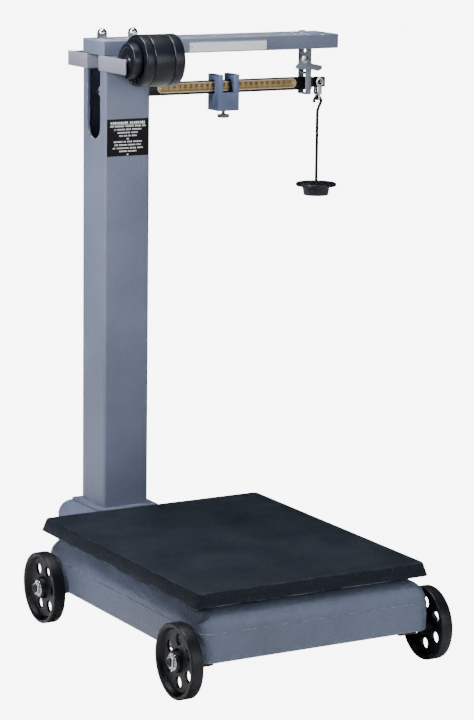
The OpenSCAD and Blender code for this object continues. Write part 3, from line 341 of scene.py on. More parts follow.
def build_finishes():
    """Every finish, by the name of the record's slot or of the piece that has its own"""
    for group in (cast_grain_group, rubbed_edges_group, settled_dust_group, brushed_group):
        group()
    c = colours()
    steel = (0.62, 0.63, 0.65)
    return {
        # The base's light edge colour is partly a painted highlight along its lip, partly wear
        "grey_paint": enamel("Casting enamel", c.enamel, 260.0, 0.0014, (0.34, 0.48), share=0.9, edge_wear_and_highlight=0.9,
                             bare_metal_and_highlight=(0.50, 0.53, 0.60), radius=0.0022, specular=0.45),
        "sheet_paint": enamel("Sheet enamel", c.sheet_enamel, 340.0, 0.00070, (0.34, 0.46),
                              dust=0.25, edge_wear_and_highlight=0.9, bare_metal_and_highlight=(0.55, 0.57, 0.62)),
        "light_paint": enamel("Rack enamel", c.rack_enamel, 700.0, 0.00012, (0.34, 0.46)),
        # The weights' light edge colour is partly a painted highlight on their rims and slot edges,
        # partly wear
        "black_iron": enamel("Weight enamel", c.weight_black, 260.0, 0.00045, (0.26, 0.40), edge_wear_and_highlight=1.0,
                             bare_metal_and_highlight=(0.40, 0.40, 0.40), dust=0.04, radius=0.0016, specks=0.3, specular=0.35,
                             speck_tone=4.0, breaks=45.0),
        # The platform's light, unbroken edge line is a painted highlight along its top edges, with some
        # wear
        "platform": enamel("Platform enamel", c.black, 320.0, 0.0008, (0.46, 0.60), share=0.8,
                           edge_wear_and_highlight=1.0, bare_metal_and_highlight=(0.52, 0.56, 0.62), dust=0.03, radius=0.0030, specks=0.4,
                           specular=0.15, speck_tone=6.0, breaks=18.0),
        "wheel_iron": enamel("Wheel enamel", shade(c.weight_black, 0.6), 340.0, 0.0006, (0.30, 0.44),
                             share=0.9, edge_wear_and_highlight=0.7, bare_metal_and_highlight=(0.22, 0.23, 0.25), dust=0.02, radius=0.0014,
                             specular=0.3, specks=0.2, speck_tone=4.0, breaks=40.0),
        "dark_iron": enamel("Hidden iron", (0.050, 0.054, 0.060), 380.0, 0.00040, (0.50, 0.65), edge_wear_and_highlight=0.2),
        "black_paint": enamel("Beam black", (0.0035, 0.004, 0.005), 800.0, 0.00006, (0.28, 0.38),
                              edge_wear_and_highlight=0.35, bare_metal_and_highlight=(0.18, 0.18, 0.19), dust=0.02, radius=0.0006,
                              specular=0.25),
        "blue_zinc": enamel("Poise finish", (0.150, 0.200, 0.360), 900.0, 0.00010, (0.36, 0.50),
                            edge_wear_and_highlight=0.6, bare_metal_and_highlight=(0.62, 0.70, 0.80), dust=0.05, radius=0.0008),
        "zinc": enamel("Dull zinc", (0.180, 0.205, 0.250), 800.0, 0.00008, (0.34, 0.50), edge_wear_and_highlight=0.5,
                       bare_metal_and_highlight=(0.55, 0.57, 0.60), radius=0.0008),
        "red_primer": enamel("Red primer", c.primer, 420.0, 0.00030, (0.50, 0.65), edge_wear_and_highlight=0.2),
        "label": enamel("Label film", (0.0015, 0.0015, 0.002), 900.0, 0.00001, (0.30, 0.38), edge_wear_and_highlight=0.0,
                        dust=0.0, specks=0.0, specular=0.15),
        "print": enamel("Label print", c.print_white, 900.0, 0.00001, (0.45, 0.55), edge_wear_and_highlight=0.0, dust=0.0),
        "ink": enamel("Ink", c.ink, 900.0, 0.00001, (0.45, 0.55), edge_wear_and_highlight=0.0, dust=0.0),
        "dark_steel": plated("Oiled steel", (0.16, 0.16, 0.17), (0.36, 0.52)),
        "bright_steel": plated("Bright steel", steel, (0.16, 0.30)),
        "nameplate": plated("Blank nameplate", (0.80, 0.81, 0.86), (0.34, 0.50), stain=0.05),
        "brass": plated("Brass field", c.brass, (0.42, 0.56), stain=0.16, depth=0.00002),
        "border": plated("Brass border", c.border, (0.30, 0.42), stain=0.06, depth=0.00002),
    }


FINISH = {}
BACKDROP = 9.0      # brightness of the white backdrop


# ---------------------------------------------------------------- making pieces


def corners(node):
    low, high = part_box(node)
    return Vector(low), Vector(high)


def middle(node):
    low, high = corners(node)
    return (low + high) / 2


def place(piece, node, finish, stands_for=True):
    """Gives a piece its finish and its body, and puts it in the node's stead"""
    piece.data.materials.clear()
    piece.data.materials.append(FINISH[finish])
    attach(piece, NODE_BODY[node])
    if stands_for:
        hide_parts(node)
    return piece


def new_object(name, mesh):
    piece = bpy.data.objects.new(name, mesh)
    bpy.context.collection.objects.link(piece)
    return piece


def solid(name, bm, sharp=32.0):
    """An object from a bmesh, smooth except at edges sharper than the angle"""
    bmesh.ops.recalc_face_normals(bm, faces=bm.faces)
    mesh = bpy.data.meshes.new(name)
    bm.to_mesh(mesh)
    bm.free()
    mesh.shade_smooth()
    mesh.set_sharp_from_angle(angle=math.radians(sharp))
    return new_object(name, mesh)


def bake_modifiers(piece, sharp=32.0):
    bpy.context.view_layer.update()
    shown = piece.evaluated_get(bpy.context.evaluated_depsgraph_get())
    mesh = bpy.data.meshes.new_from_object(shown)
    piece.modifiers.clear()
    piece.data = mesh
    mesh.shade_smooth()
    mesh.set_sharp_from_angle(angle=math.radians(sharp))
    return piece


def cut(piece, cutters, operation="DIFFERENCE", sharp=32.0):
    """Takes the cutters from the piece, or joins them to it, and removes them"""
    for tool in cutters:
        step = piece.modifiers.new("Cut", "BOOLEAN")
        step.operation = operation
        step.solver = "EXACT"
        step.object = tool
    bake_modifiers(piece, sharp)
    for tool in cutters:
        bpy.data.objects.remove(tool)
    return piece


def round_off(outline, radius, steps=4):
    """The outline with its corners rounded; radius is one number or one for each corner"""
    count = len(outline)
    radii = [radius] * count if isinstance(radius, (int, float)) else radius
    done = []
    for i, point in enumerate(outline):
        here = Vector(point)
        if radii[i] <= 0:
            done.append(tuple(here))
            continue
        before = Vector(outline[i - 1]) - here
        after = Vector(outline[(i + 1) % count]) - here
        turn = before.angle(after)
        back = min(radii[i] / math.tan(turn / 2), before.length * 0.49, after.length * 0.49)
        a, b = here + before.normalized() * back, here + after.normalized() * back
        for k in range(steps + 1):
            t = k / steps
            done.append(tuple(a * (1 - t) ** 2 + here * 2 * t * (1 - t) + b * t ** 2))
    return done


def turned(bm, outline, centre, facing, steps=72, closed=False):
    """Turns an outline of (radius, height) round an axis; closed joins its last point to its first"""
    rings = []
    for radius, height in outline:
        if radius < 1e-7:
            rings.append([bm.verts.new(centre + facing @ Vector((0, 0, height)))])
            continue
        angles = (2 * math.pi * k / steps for k in range(steps))
        rings.append([
            bm.verts.new(centre + facing @ Vector((radius * math.cos(a), radius * math.sin(a), height)))
            for a in angles
        ])
    pairs = list(zip(rings, rings[1:])) + ([(rings[-1], rings[0])] if closed else [])
    for one, two in pairs:
        for k in range(steps):
            after = k + 1
            quad = [one[k % len(one)], one[after % len(one)], two[after % len(two)], two[k % len(two)]]
            face = list(dict.fromkeys(quad))
            if len(face) > 2:
                bm.faces.new(face)
    return bm


def turned_piece(name, outline, centre, facing, steps=72, closed=False):
    return solid(name, turned(bmesh.new(), outline, centre, facing, steps, closed))


def drill(name, radius, foot, top, centre, facing, steps=72):
    """A round cutter along an axis, from foot to top"""
    outline = [(0, foot), (radius, foot), (radius, top), (0, top)]
    return turned_piece(name, outline, centre, facing, steps)


def outward(side):
    """The axis of a wheel or nut that faces right, for 1, or left, for -1"""
    return ALONG_X if side > 0 else Matrix.Rotation(math.pi, 3, "Z") @ ALONG_X


def ring_of(low, high, radius, z, steps=7):
    """Points of a rectangle with rounded corners at a height"""
    radius = max(radius, 0.0004)
    points = []
    for x, y, start in ((high.x - radius, high.y - radius, 0), (low.x + radius, high.y - radius, 90),
                        (low.x + radius, low.y + radius, 180), (high.x - radius, low.y + radius, 270)):
        for k in range(steps + 1):
            a = math.radians(start + 90 * k / steps)
            points.append(Vector((x + radius * math.cos(a), y + radius * math.sin(a), z)))
    return points


def stacked(name, rings, sharp=32.0):
    """A solid through rings of points, closed with a flat face at both ends"""
    bm = bmesh.new()
    made = [[bm.verts.new(p) for p in ring] for ring in rings]
    for one, two in zip(made, made[1:]):
        for k in range(len(one)):
            bm.faces.new((one[k], one[(k + 1) % len(one)], two[(k + 1) % len(two)], two[k]))
    bm.faces.new(list(reversed(made[0])))
    bm.faces.new(made[-1])
    return solid(name, bm, sharp)


def inset(low, high, d):
    return low + Vector((d, d, 0)), high - Vector((d, d, 0))


def dome(name, low, high, radius, corner=None, arcs=9, foot=0.0):
    """An upright block whose top edge is rounded with a radius; foot eases its bottom edge"""
    corner = radius if corner is None else corner
    rings = []
    if foot:
        rings.append(ring_of(*inset(low, high, foot), corner - foot, low.z))
    rings.append(ring_of(low, high, corner, low.z + foot))
    for k in range(arcs + 1):
        a = math.pi / 2 * k / arcs
        d = radius * (1 - math.cos(a))
        rings.append(ring_of(*inset(low, high, d), corner - d, high.z - radius + radius * math.sin(a)))
    return stacked(name, rings)


def plain_block(name, low, high, corner=0.0):
    """An upright block with rounded corners in plan"""
    return stacked(name, [ring_of(low, high, corner, low.z), ring_of(low, high, corner, high.z)])


def add_box(bm, low, high):
    made = bmesh.ops.create_cube(bm, size=1.0)["verts"]
    for v in made:
        v.co = Vector(tuple(low[k] if v.co[k] < 0 else high[k] for k in range(3)))
    return made


def ease(bm, width, segments=2, angle=28.0, clamp=False):
    """Rounds the edges sharper than the angle"""
    sharp = [e for e in bm.edges
             if len(e.link_faces) == 2 and e.calc_face_angle(0.0) > math.radians(angle)]
    bmesh.ops.bevel(bm, geom=sharp, offset=width, offset_type="OFFSET", segments=segments,
                    profile=0.5, affect="EDGES", clamp_overlap=clamp)


def eased_block(name, low, high, width, segments=3):
    bm = bmesh.new()
    add_box(bm, low, high)
    ease(bm, width, segments)
    return solid(name, bm, 40.0)


def eased_copy(node, finish, width=None, segments=2):
    """A piece with the node's shape and rounded edges"""
    bm = bmesh.new()
    bm.from_mesh(frame["nodes"][node].data)
    bmesh.ops.remove_doubles(bm, verts=bm.verts, dist=2e-6)
    bmesh.ops.dissolve_limit(bm, angle_limit=math.radians(0.6), verts=bm.verts, edges=bm.edges)
    ease(bm, sizes().edge if width is None else width, segments, clamp=True)
    return place(solid(node + "_piece", bm, 40.0), node, finish)


def refinish(node, finish):
    """Gives a CAD node that stays a better material"""
    for held in frame["nodes"][node].material_slots:
        held.material = FINISH[finish]


def tube(bm, path, radius, sides=20):
    """A round bar along points that lie in one plane of constant y"""
    across = Vector((0, 1, 0))
    rings = []
    for i, point in enumerate(path):
        ahead = path[min(i + 1, len(path) - 1)] - path[max(i - 1, 0)]
        out = across.cross(ahead.normalized())
        rings.append([
            bm.verts.new(point + radius * (math.cos(a) * out + math.sin(a) * across))
            for a in (2 * math.pi * k / sides for k in range(sides))
        ])
    for one, two in zip(rings, rings[1:]):
        for k in range(sides):
            bm.faces.new((one[k], one[(k + 1) % sides], two[(k + 1) % sides], two[k]))
    bm.faces.new(rings[0])
    bm.faces.new(list(reversed(rings[-1])))


def hexagon(bm, centre, facing, reach, height, ease_by=0.0006):
    """A six-sided head that stands on its centre; reach is to its corners"""
    outline = [(0, 0), (reach, 0), (reach, height), (0, height)]
    head = turned(bmesh.new(), outline, centre, facing, steps=6)
    ease(head, ease_by, 2)
    mesh = bpy.data.meshes.new("head")
    head.to_mesh(mesh)
    head.free()
    bm.from_mesh(mesh)
    bpy.data.meshes.remove(mesh)


# ---------------------------------------------------------------- pieces


class SCALE_OT_finishes(Operator):
    """Make the enamels, platings and prints that the pieces use"""

    bl_idname = "scale.finishes"
    bl_label = "Finishes"

    def execute(self, context):
        FINISH.clear()
        FINISH.update(build_finishes())
        return {"FINISHED"}


class SCALE_OT_base(Operator):
    """Cast base with its rounded shoulder, lip and boss for the pillar"""

    bl_idname = "scale.base"
    bl_label = "Base casting"

    def execute(self, context):
        s = sizes()
        low, high = corners("base_casting")
        plate_low, plate_high = corners("platform")
        pillar = middle("pillar")
        gap, corner, foot_ease, lip_drop = 0.006, 0.026, 0.0015, 0.0022
        top = plate_low.z - gap
        a = Vector((low.x + s.lip, low.y + s.lip, top - s.shoulder))
        b = Vector((high.x - s.lip, low.y + s.lip + s.base_length, top))
        skirt_a = Vector((low.x, low.y, low.z))
        skirt_b = Vector((high.x, b.y + s.lip, a.z))
        rings = [ring_of(*inset(skirt_a, skirt_b, foot_ease), corner, skirt_a.z)]
        rings.append(ring_of(skirt_a, skirt_b, corner + s.lip, skirt_a.z + foot_ease))
        for k in range(5):
            t = math.pi / 2 * k / 4
            d = s.lip * 0.9 * (1 - math.cos(t))
            z = skirt_b.z - lip_drop + lip_drop * math.sin(t)
            rings.append(ring_of(*inset(skirt_a, skirt_b, d), corner + s.lip - d, z))
        for k in range(13):
            t = math.pi / 2 * k / 12
            d = s.shoulder * (1 - math.cos(t))
            rings.append(ring_of(*inset(a, b, d), corner - d * 0.55, a.z + s.shoulder * math.sin(t)))
        body = stacked("base_piece", rings)
        half, boss_r, boss_corner = 0.100, 0.030, 0.038
        front = plate_high.y + 0.008
        neck = dome("neck", Vector((pillar.x - half, b.y - 0.070, low.z)),
                    Vector((pillar.x + half, front + 0.060, top - 0.002)), boss_r, boss_corner)
        boss = dome("boss", Vector((pillar.x - half, front, low.z)),
                    Vector((pillar.x + half, high.y, high.z)), boss_r, boss_corner, foot=0.0012)
        cut(body, [neck, boss], "UNION")
        w = s.base_wall
        deep = low.z - 0.01
        hollow = dome("hollow", Vector((a.x + w, a.y + w, deep)), Vector((b.x - w, b.y - w, top - w)),
                      s.shoulder - w, corner - w - 0.002)
        neck_hollow = dome("neck_hollow", Vector((pillar.x - half + w, b.y - 0.060, deep)),
                           Vector((pillar.x + half - w, front + 0.050, top - w - 0.002)),
                           boss_r - w, boss_corner - w)
        boss_hollow = dome("boss_hollow", Vector((pillar.x - half + w, front + w, deep)),
                           Vector((pillar.x + half - w, high.y - w, high.z - w)),
                           boss_r - w, boss_corner - w)
        mouth_low, mouth_high = inset(a, b, s.ledge)
        mouth = stacked("mouth", [
            ring_of(mouth_low, mouth_high, 0.020, top - 2 * w),
            ring_of(mouth_low, mouth_high, 0.020, top + 0.01),
        ])
        rod_way = drill("rod_way", 0.022, -0.1, 0.1, Vector((pillar.x, pillar.y, high.z)), UPRIGHT)
        axle_ways = []
        for node in ("front_axle", "rear_axle"):
            at = middle(node)
            centre = Vector(((a.x + b.x) / 2, at.y, at.z))
            axle_ways.append(drill("axle_way", 0.011, -0.27, 0.27, centre, ALONG_X))
        cut(body, [hollow, neck_hollow, boss_hollow, mouth, rod_way] + axle_ways)
        place(body, "base_casting", "grey_paint")
        eased_copy("pillar_foot", "grey_paint", 0.0014, 3)
        eased_copy("foot_bolts", "grey_paint", 0.0003, 2)
        return {"FINISHED"}


class SCALE_OT_platform(Operator):
    """Cast platform plate with drafted sides and pockets below"""

    bl_idname = "scale.platform"
    bl_label = "Platform"

    def execute(self, context):
        s = sizes()
        low, high = corners("platform")
        draft = s.platform_draft
        height = high.z - low.z
        corner, foot_ease, reach = 0.010, 0.0016, 0.0030
        rings = [ring_of(*inset(low, high, foot_ease), 0.0084, low.z)]
        for k in range(4):
            t = math.pi / 2 * k / 3
            d = foot_ease * (1 - math.sin(t))
            z = low.z + foot_ease * (1 - math.cos(t))
            rings.append(ring_of(*inset(low, high, d), corner - d, z))
        shoulder = draft * (height - reach) / height
        for k in range(7):
            t = math.pi / 2 * k / 6
            d = shoulder + reach * (1 - math.cos(t)) * 0.75 + (draft - shoulder) * k / 6
            rings.append(ring_of(*inset(low, high, d), corner - reach * (1 - math.cos(t)) * 0.4,
                                 high.z - reach + reach * math.sin(t)))
        plate = stacked("platform_piece", rings)
        rib = 0.012
        inner = high.x - draft
        centre = (low.x + high.x) / 2
        span = high.y - low.y - 2 * draft
        rows = 4
        deep = (span - (rows + 1) * rib) / rows
        bay_end = 0.138
        bay_mid = (bay_end + rib / 2) / 2
        bays = ((rib / 2, bay_mid - rib / 2), (bay_mid + rib / 2, bay_end), (0.162, inner - centre - rib))
        pockets = []
        for side in (-1, 1):
            for near, far in bays:
                for row in range(rows):
                    y = low.y + draft + rib + row * (deep + rib)
                    x0, x1 = sorted((centre + side * near, centre + side * far))
                    pocket = plain_block("pocket", Vector((x0, y, low.z - 0.01)),
                                         Vector((x1, y + deep, high.z - s.platform_skin)), 0.003)
                    pockets.append(pocket)
        cut(plate, pockets)
        place(plate, "platform", "platform")
        return {"FINISHED"}


class SCALE_OT_pillar(Operator):
    """Square pillar with its two slots"""

    bl_idname = "scale.pillar"
    bl_label = "Pillar"

    def execute(self, context):
        s = sizes()
        low, high = corners("pillar")
        mid = (low + high) / 2
        w = s.pillar_wall
        post = plain_block("pillar_piece", low, high, s.pillar_corner)
        core = plain_block("core", low + Vector((w, w, -0.01)), high - Vector((w, w, -0.01)), 0.002)
        half = s.slot_width / 2
        foot = high.z - s.slot_length + half
        slot = drill("slot", half, -0.01, w + 0.01, Vector((low.x, mid.y, foot)), ALONG_X, 48)
        slot_top = plain_block("slot_top", Vector((low.x - 0.01, mid.y - half, foot)),
                               Vector((low.x + w + 0.01, mid.y + half, high.z + 0.01)))
        beam_foot = high.z - s.beam_slot_length
        beam_way = plain_block("beam_way", Vector((high.x - w - 0.01, mid.y - half, beam_foot)),
                               Vector((high.x + 0.01, mid.y + half, high.z + 0.01)))
        cut(post, [core, slot, slot_top, beam_way])
        place(post, "pillar", "sheet_paint")
        return {"FINISHED"}


class SCALE_OT_label(Operator):
    """Black label on the pillar with blank bars in place of words"""

    bl_idname = "scale.label"
    bl_label = "Label"

    def execute(self, context):
        low, high = corners("instruction_label")
        eased_copy("instruction_label", "label", 0.0001, 1)
        bars = bmesh.new()
        front = low.y
        mid = (low.x + high.x) / 2
        rows = (
            (0.92, 0.0046, (9, 8)), (0.94, 0.0030, (3, 8, 7, 5, 3)), (0.72, 0.0030, (1, 6, 4, 7)),
            (0.54, 0.0030, (9, 5)), (0.46, 0.0030, (3, 3, 2, 4)), (0.08, 0.0022, (1,)),
            (0.74, 0.0030, (7, 2, 4, 7)), (0.70, 0.0030, (3, 7, 6, 4)), (0.78, 0.0030, (2, 9, 5, 4)),
            (0.46, 0.0030, (6, 7)), (0.06, 0.0026, (1,)),
        )
        width = high.x - low.x
        z = high.z - 0.0055
        for share, tall, words in rows:
            total = sum(words) + 0.8 * (len(words) - 1)
            letter = share * width * 0.92 / total
            x = mid - share * width * 0.46
            for word in words:
                for k in range(word):
                    add_box(bars, (x + letter * 0.12, front - 0.00012, z - tall),
                            (x + letter * (0.82 if (k + word) % 3 else 0.66), front + 0.0001, z))
                    x += letter
                x += 0.8 * letter
            z -= tall + 0.0036
        add_box(bars, (low.x + 0.008, front - 0.00012, high.z - 0.0120),
                (high.x - 0.008, front + 0.0001, high.z - 0.0114))
        place(solid("label_bars", bars), "instruction_label", "print", stands_for=False)
        return {"FINISHED"}


class SCALE_OT_shelf(Operator):
    """Shelf channel over the beam, its blank nameplate, studs and nuts"""

    bl_idname = "scale.shelf"
    bl_label = "Shelf"

    def execute(self, context):
        s = sizes()
        low, high = corners("shelf_channel")
        t = s.sheet
        shelf = eased_block("shelf_piece", low, high, s.fold, 5)
        hollow = eased_block("hollow", low + Vector((t, t, -0.02)), high - Vector((t, t, t)), 0.001, 2)
        ways = []
        for _, (x, y) in self.stud_places():
            ways.append(drill("stud_way", 0.005, -0.02, 0.02, Vector((x, y, high.z)), UPRIGHT, 24))
        cut(shelf, [hollow] + ways, sharp=40.0)
        place(shelf, "shelf_channel", "sheet_paint")
        plate_low, plate_high = corners("nameplate")
        plate = self.upright_plate("nameplate_piece", plate_low, plate_high, 0.0022)
        place(plate, "nameplate", "nameplate")
        lines = bmesh.new()
        edge, wide, face = 0.0006, 0.0009, plate_low.y
        for x0, z0, x1, z1 in (
            (plate_low.x + edge, plate_low.z + edge, plate_high.x - edge, plate_low.z + edge + wide),
            (plate_low.x + edge, plate_high.z - edge - wide, plate_high.x - edge, plate_high.z - edge),
            (plate_low.x + edge, plate_low.z + edge, plate_low.x + edge + wide, plate_high.z - edge),
            (plate_high.x - edge - wide, plate_low.z + edge, plate_high.x - edge, plate_high.z - edge),
        ):
            add_box(lines, (x0, face - 0.0001, z0), (x1, face + 0.0002, z1))
        place(solid("nameplate_lines", lines), "nameplate", "ink", stands_for=False)
        rivets = bmesh.new()
        rivet_low, rivet_high = corners("nameplate_rivets")
        z = (rivet_low.z + rivet_high.z) / 2
        for x in (rivet_low.x + 0.002, rivet_high.x - 0.002):
            turned(rivets, [(0, -0.0004), (0.0011, -0.0003), (0.0018, 0.0002), (0.0020, 0.0008)],
                   Vector((x, rivet_low.y, z)), ALONG_Y, 24)
        place(solid("nameplate_rivets_piece", rivets, 60.0), "nameplate_rivets", "bright_steel")
        nuts = bmesh.new()
        for kind, (x, y) in self.stud_places():
            seat = Vector((x, y, high.z))
            if kind == "acorn":
                hexagon(nuts, seat, UPRIGHT, 0.012, 0.0118, 0.0011)
                outline = [(0.0108, 0.0115)]
                for k in range(9):
                    a = math.pi / 2 * k / 8
                    outline.append((0.0102 * math.cos(a), 0.0121 + 0.0101 * math.sin(a)))
                turned(nuts, outline[:-1] + [(0, 0.0222)], seat, UPRIGHT, 40)
            else:
                hexagon(nuts, seat, UPRIGHT, 0.0086, 0.0058, 0.0009)
        place(solid("shelf_nuts_piece", nuts, 35.0), "shelf_nuts", "bright_steel")
        refinish("shelf_studs", "zinc")
        return {"FINISHED"}

    @staticmethod
    def stud_places():
        """The three studs: two over the pillar and one over the loop"""
        low, high = corners("shelf_studs")
        loop = middle("trig_loop")
        r = 0.005
        y = high.y - r
        return (("acorn", (low.x + r, y)), ("acorn", (low.x + 0.077, y)), ("plain", (loop.x, loop.y)))

    @staticmethod
    def upright_plate(name, low, high, corner):
        """A thin plate that faces the front, with rounded corners"""
        flat_low = Vector((low.x, low.z, 0))
        flat_high = Vector((high.x, high.z, 0))
        rings = []
        for d, y in ((0.0, high.y), (0.0, low.y + 0.0003), (0.0003, low.y)):
            ring = ring_of(*inset(flat_low, flat_high, d), corner - d, 0, 5)
            rings.append([Vector((p.x, y, p.y)) for p in ring])
        return stacked(name, rings)


class SCALE_OT_rack(Operator):
    """Rack across the pillar with its two pegs and screws"""

    bl_idname = "scale.rack"
    bl_label = "Weight rack"

    def execute(self, context):
        eased_copy("weight_rack", "light_paint", 0.0005, 2)
        eased_copy("rack_screws", "light_paint", 0.0002, 2)
        pegs = bmesh.new()
        low, high = corners("weight_pegs")
        z = (low.z + high.z) / 2
        r = (high.z - low.z) / 2
        for y in (low.y + r, high.y - r):
            outline = round_off([(0, 0), (r, 0), (r, high.x - low.x), (0, high.x - low.x)],
                                [0, 0, 0.0012, 0])
            turned(pegs, outline, Vector((low.x, y, z)), ALONG_X, 32)
        place(solid("weight_pegs_piece", pegs), "weight_pegs", "dark_steel")
        return {"FINISHED"}


class SCALE_OT_weights(Operator):
    """Slotted weights that hang on the front peg"""

    bl_idname = "scale.weights"
    bl_label = "Weights"

    def execute(self, context):
        s = sizes()
        peg = middle("weight_pegs")
        for node in ("small_weight", "weight_1", "weight_2", "weight_3"):
            low, high = corners(node)
            r = (high.y - low.y) / 2
            t = high.x - low.x
            mid = (low + high) / 2
            rim, dish, boss, ease_by = 0.007, 0.003, 0.009, 0.0028
            outline = [(0, 0), (boss, 0), (boss + dish, dish), (r - rim - dish, dish), (r - rim, 0),
                       (r, 0), (r, t), (r - rim, t), (r - rim - 0.001, t - 0.0008), (0, t - 0.0008)]
            soft = [0, 0.001, 0.0015, 0.0015, 0.001, ease_by, ease_by, 0.0006, 0.0006, 0]
            disc = turned_piece(node + "_piece", round_off(outline, soft, 4),
                                Vector((low.x, mid.y, peg.z)), ALONG_X, 96)
            bore = drill("bore", s.weight_slot, -0.01, t + 0.01,
                         Vector((low.x, mid.y, peg.z)), ALONG_X, 32)
            slot = plain_block("slot", Vector((low.x - 0.01, mid.y - s.weight_slot, peg.z - r - 0.01)),
                               Vector((high.x + 0.01, mid.y + s.weight_slot, peg.z)))
            cut(disc, [bore, slot], sharp=36.0)
            place(disc, node, "black_iron")
        return {"FINISHED"}


class SCALE_OT_wheels(Operator):
    """Four cast wheels with their axles, washers and nuts"""

    bl_idname = "scale.wheels"
    bl_label = "Wheels"

    def execute(self, context):
        s = sizes()
        for node in ("wheel_front_left", "wheel_front_right", "wheel_rear_left", "wheel_rear_right"):
            low, high = corners(node)
            mid = (low + high) / 2
            facing = outward(1 if "right" in node else -1)
            r = (high.z - low.z) / 2
            w = high.x - low.x
            bore, rim, hub, web_in, web_t = 0.00905, 0.009, 0.021, 0.008, 0.007
            holes_at, rear_turn = 0.042, math.radians(25.0)
            outline = [
                (bore, 0), (hub, 0), (hub + 0.002, web_in), (r - rim - 0.004, web_in),
                (r - rim, 0.0), (r, 0), (r, w), (r - rim + 0.003, w), (r - rim, w - 0.002),
                (r - rim - 0.004, web_in + web_t), (hub + 0.002, web_in + web_t), (hub, w), (bore, w),
            ]
            soft = [0, 0.002, 0.003, 0.003, 0.003, 0.0026, 0.0026, 0.0015, 0.002, 0.003, 0.003, 0.002, 0]
            start = mid - facing @ Vector((0, 0, w / 2))
            wheel = turned_piece(node + "_piece", round_off(outline, soft, 4), start, facing, 120, True)
            holes = []
            for k in range(s.wheel_holes):
                a = 2 * math.pi * k / s.wheel_holes + (rear_turn if "rear" in node else 0.0)
                at = start + Vector((0, holes_at * math.sin(a), -holes_at * math.cos(a)))
                flare = s.wheel_hole + 0.0012
                side = [(0, -0.01), (flare, -0.01), (flare, web_in - 0.0002),
                        (s.wheel_hole, web_in + 0.0012),
                        (s.wheel_hole, web_in + web_t - 0.0012), (flare, web_in + web_t + 0.0002),
                        (flare, w + 0.01), (0, w + 0.01)]
                holes.append(turned_piece("hole", side, at, facing, 40))
            cut(wheel, holes, sharp=36.0)
            place(wheel, node, "wheel_iron")
        self.axle_ends()
        eased_copy("axle_brackets", "red_primer", 0.0012, 3)
        eased_copy("bracket_bolts", "dark_steel", 0.0006, 2)
        refinish("axle_spacers", "dark_steel")
        return {"FINISHED"}

    @staticmethod
    def axle_ends():
        """Axles with eased ends, washers and nuts, all from the CAD's own boxes"""
        washers, nuts = bmesh.new(), bmesh.new()
        washer_low, washer_high = corners("axle_washers")
        for node in ("front_axle", "rear_axle"):
            low, high = corners(node)
            mid = (low + high) / 2
            r = (high.z - low.z) / 2
            length = high.x - low.x
            outline = round_off([(0, 0.0012), (0.004, 0.0012), (0.0045, 0), (r, 0), (r, length),
                                 (0.0045, length), (0.004, length - 0.0012), (0, length - 0.0012)],
                                [0, 0.0003, 0.0003, 0.0014, 0.0014, 0.0003, 0.0003, 0])
            place(turned_piece(node + "_piece", outline, Vector((low.x, mid.y, mid.z)), ALONG_X, 40),
                  node, "black_paint")
            for side, edge in ((-1, washer_low.x), (1, washer_high.x)):
                facing = outward(side)
                seat = Vector((edge - side * 0.002, mid.y, mid.z))
                ring = round_off([(0.0092, 0), (0.017, 0), (0.017, 0.002), (0.0092, 0.002)],
                                 [0, 0.0004, 0.0006, 0.0004])
                turned(washers, ring, seat, facing, 48, True)
                crown = round_off([(0.0092, 0.002), (0.0138, 0.002), (0.0138, 0.0066), (0.0118, 0.0080),
                                   (0.0092, 0.0080)], [0, 0, 0.0006, 0.0008, 0.0003])
                turned(nuts, crown, seat, facing, 6, True)
        place(solid("axle_washers_piece", washers), "axle_washers", "bright_steel")
        place(solid("axle_nuts_piece", nuts, 25.0), "axle_nuts", "bright_steel")


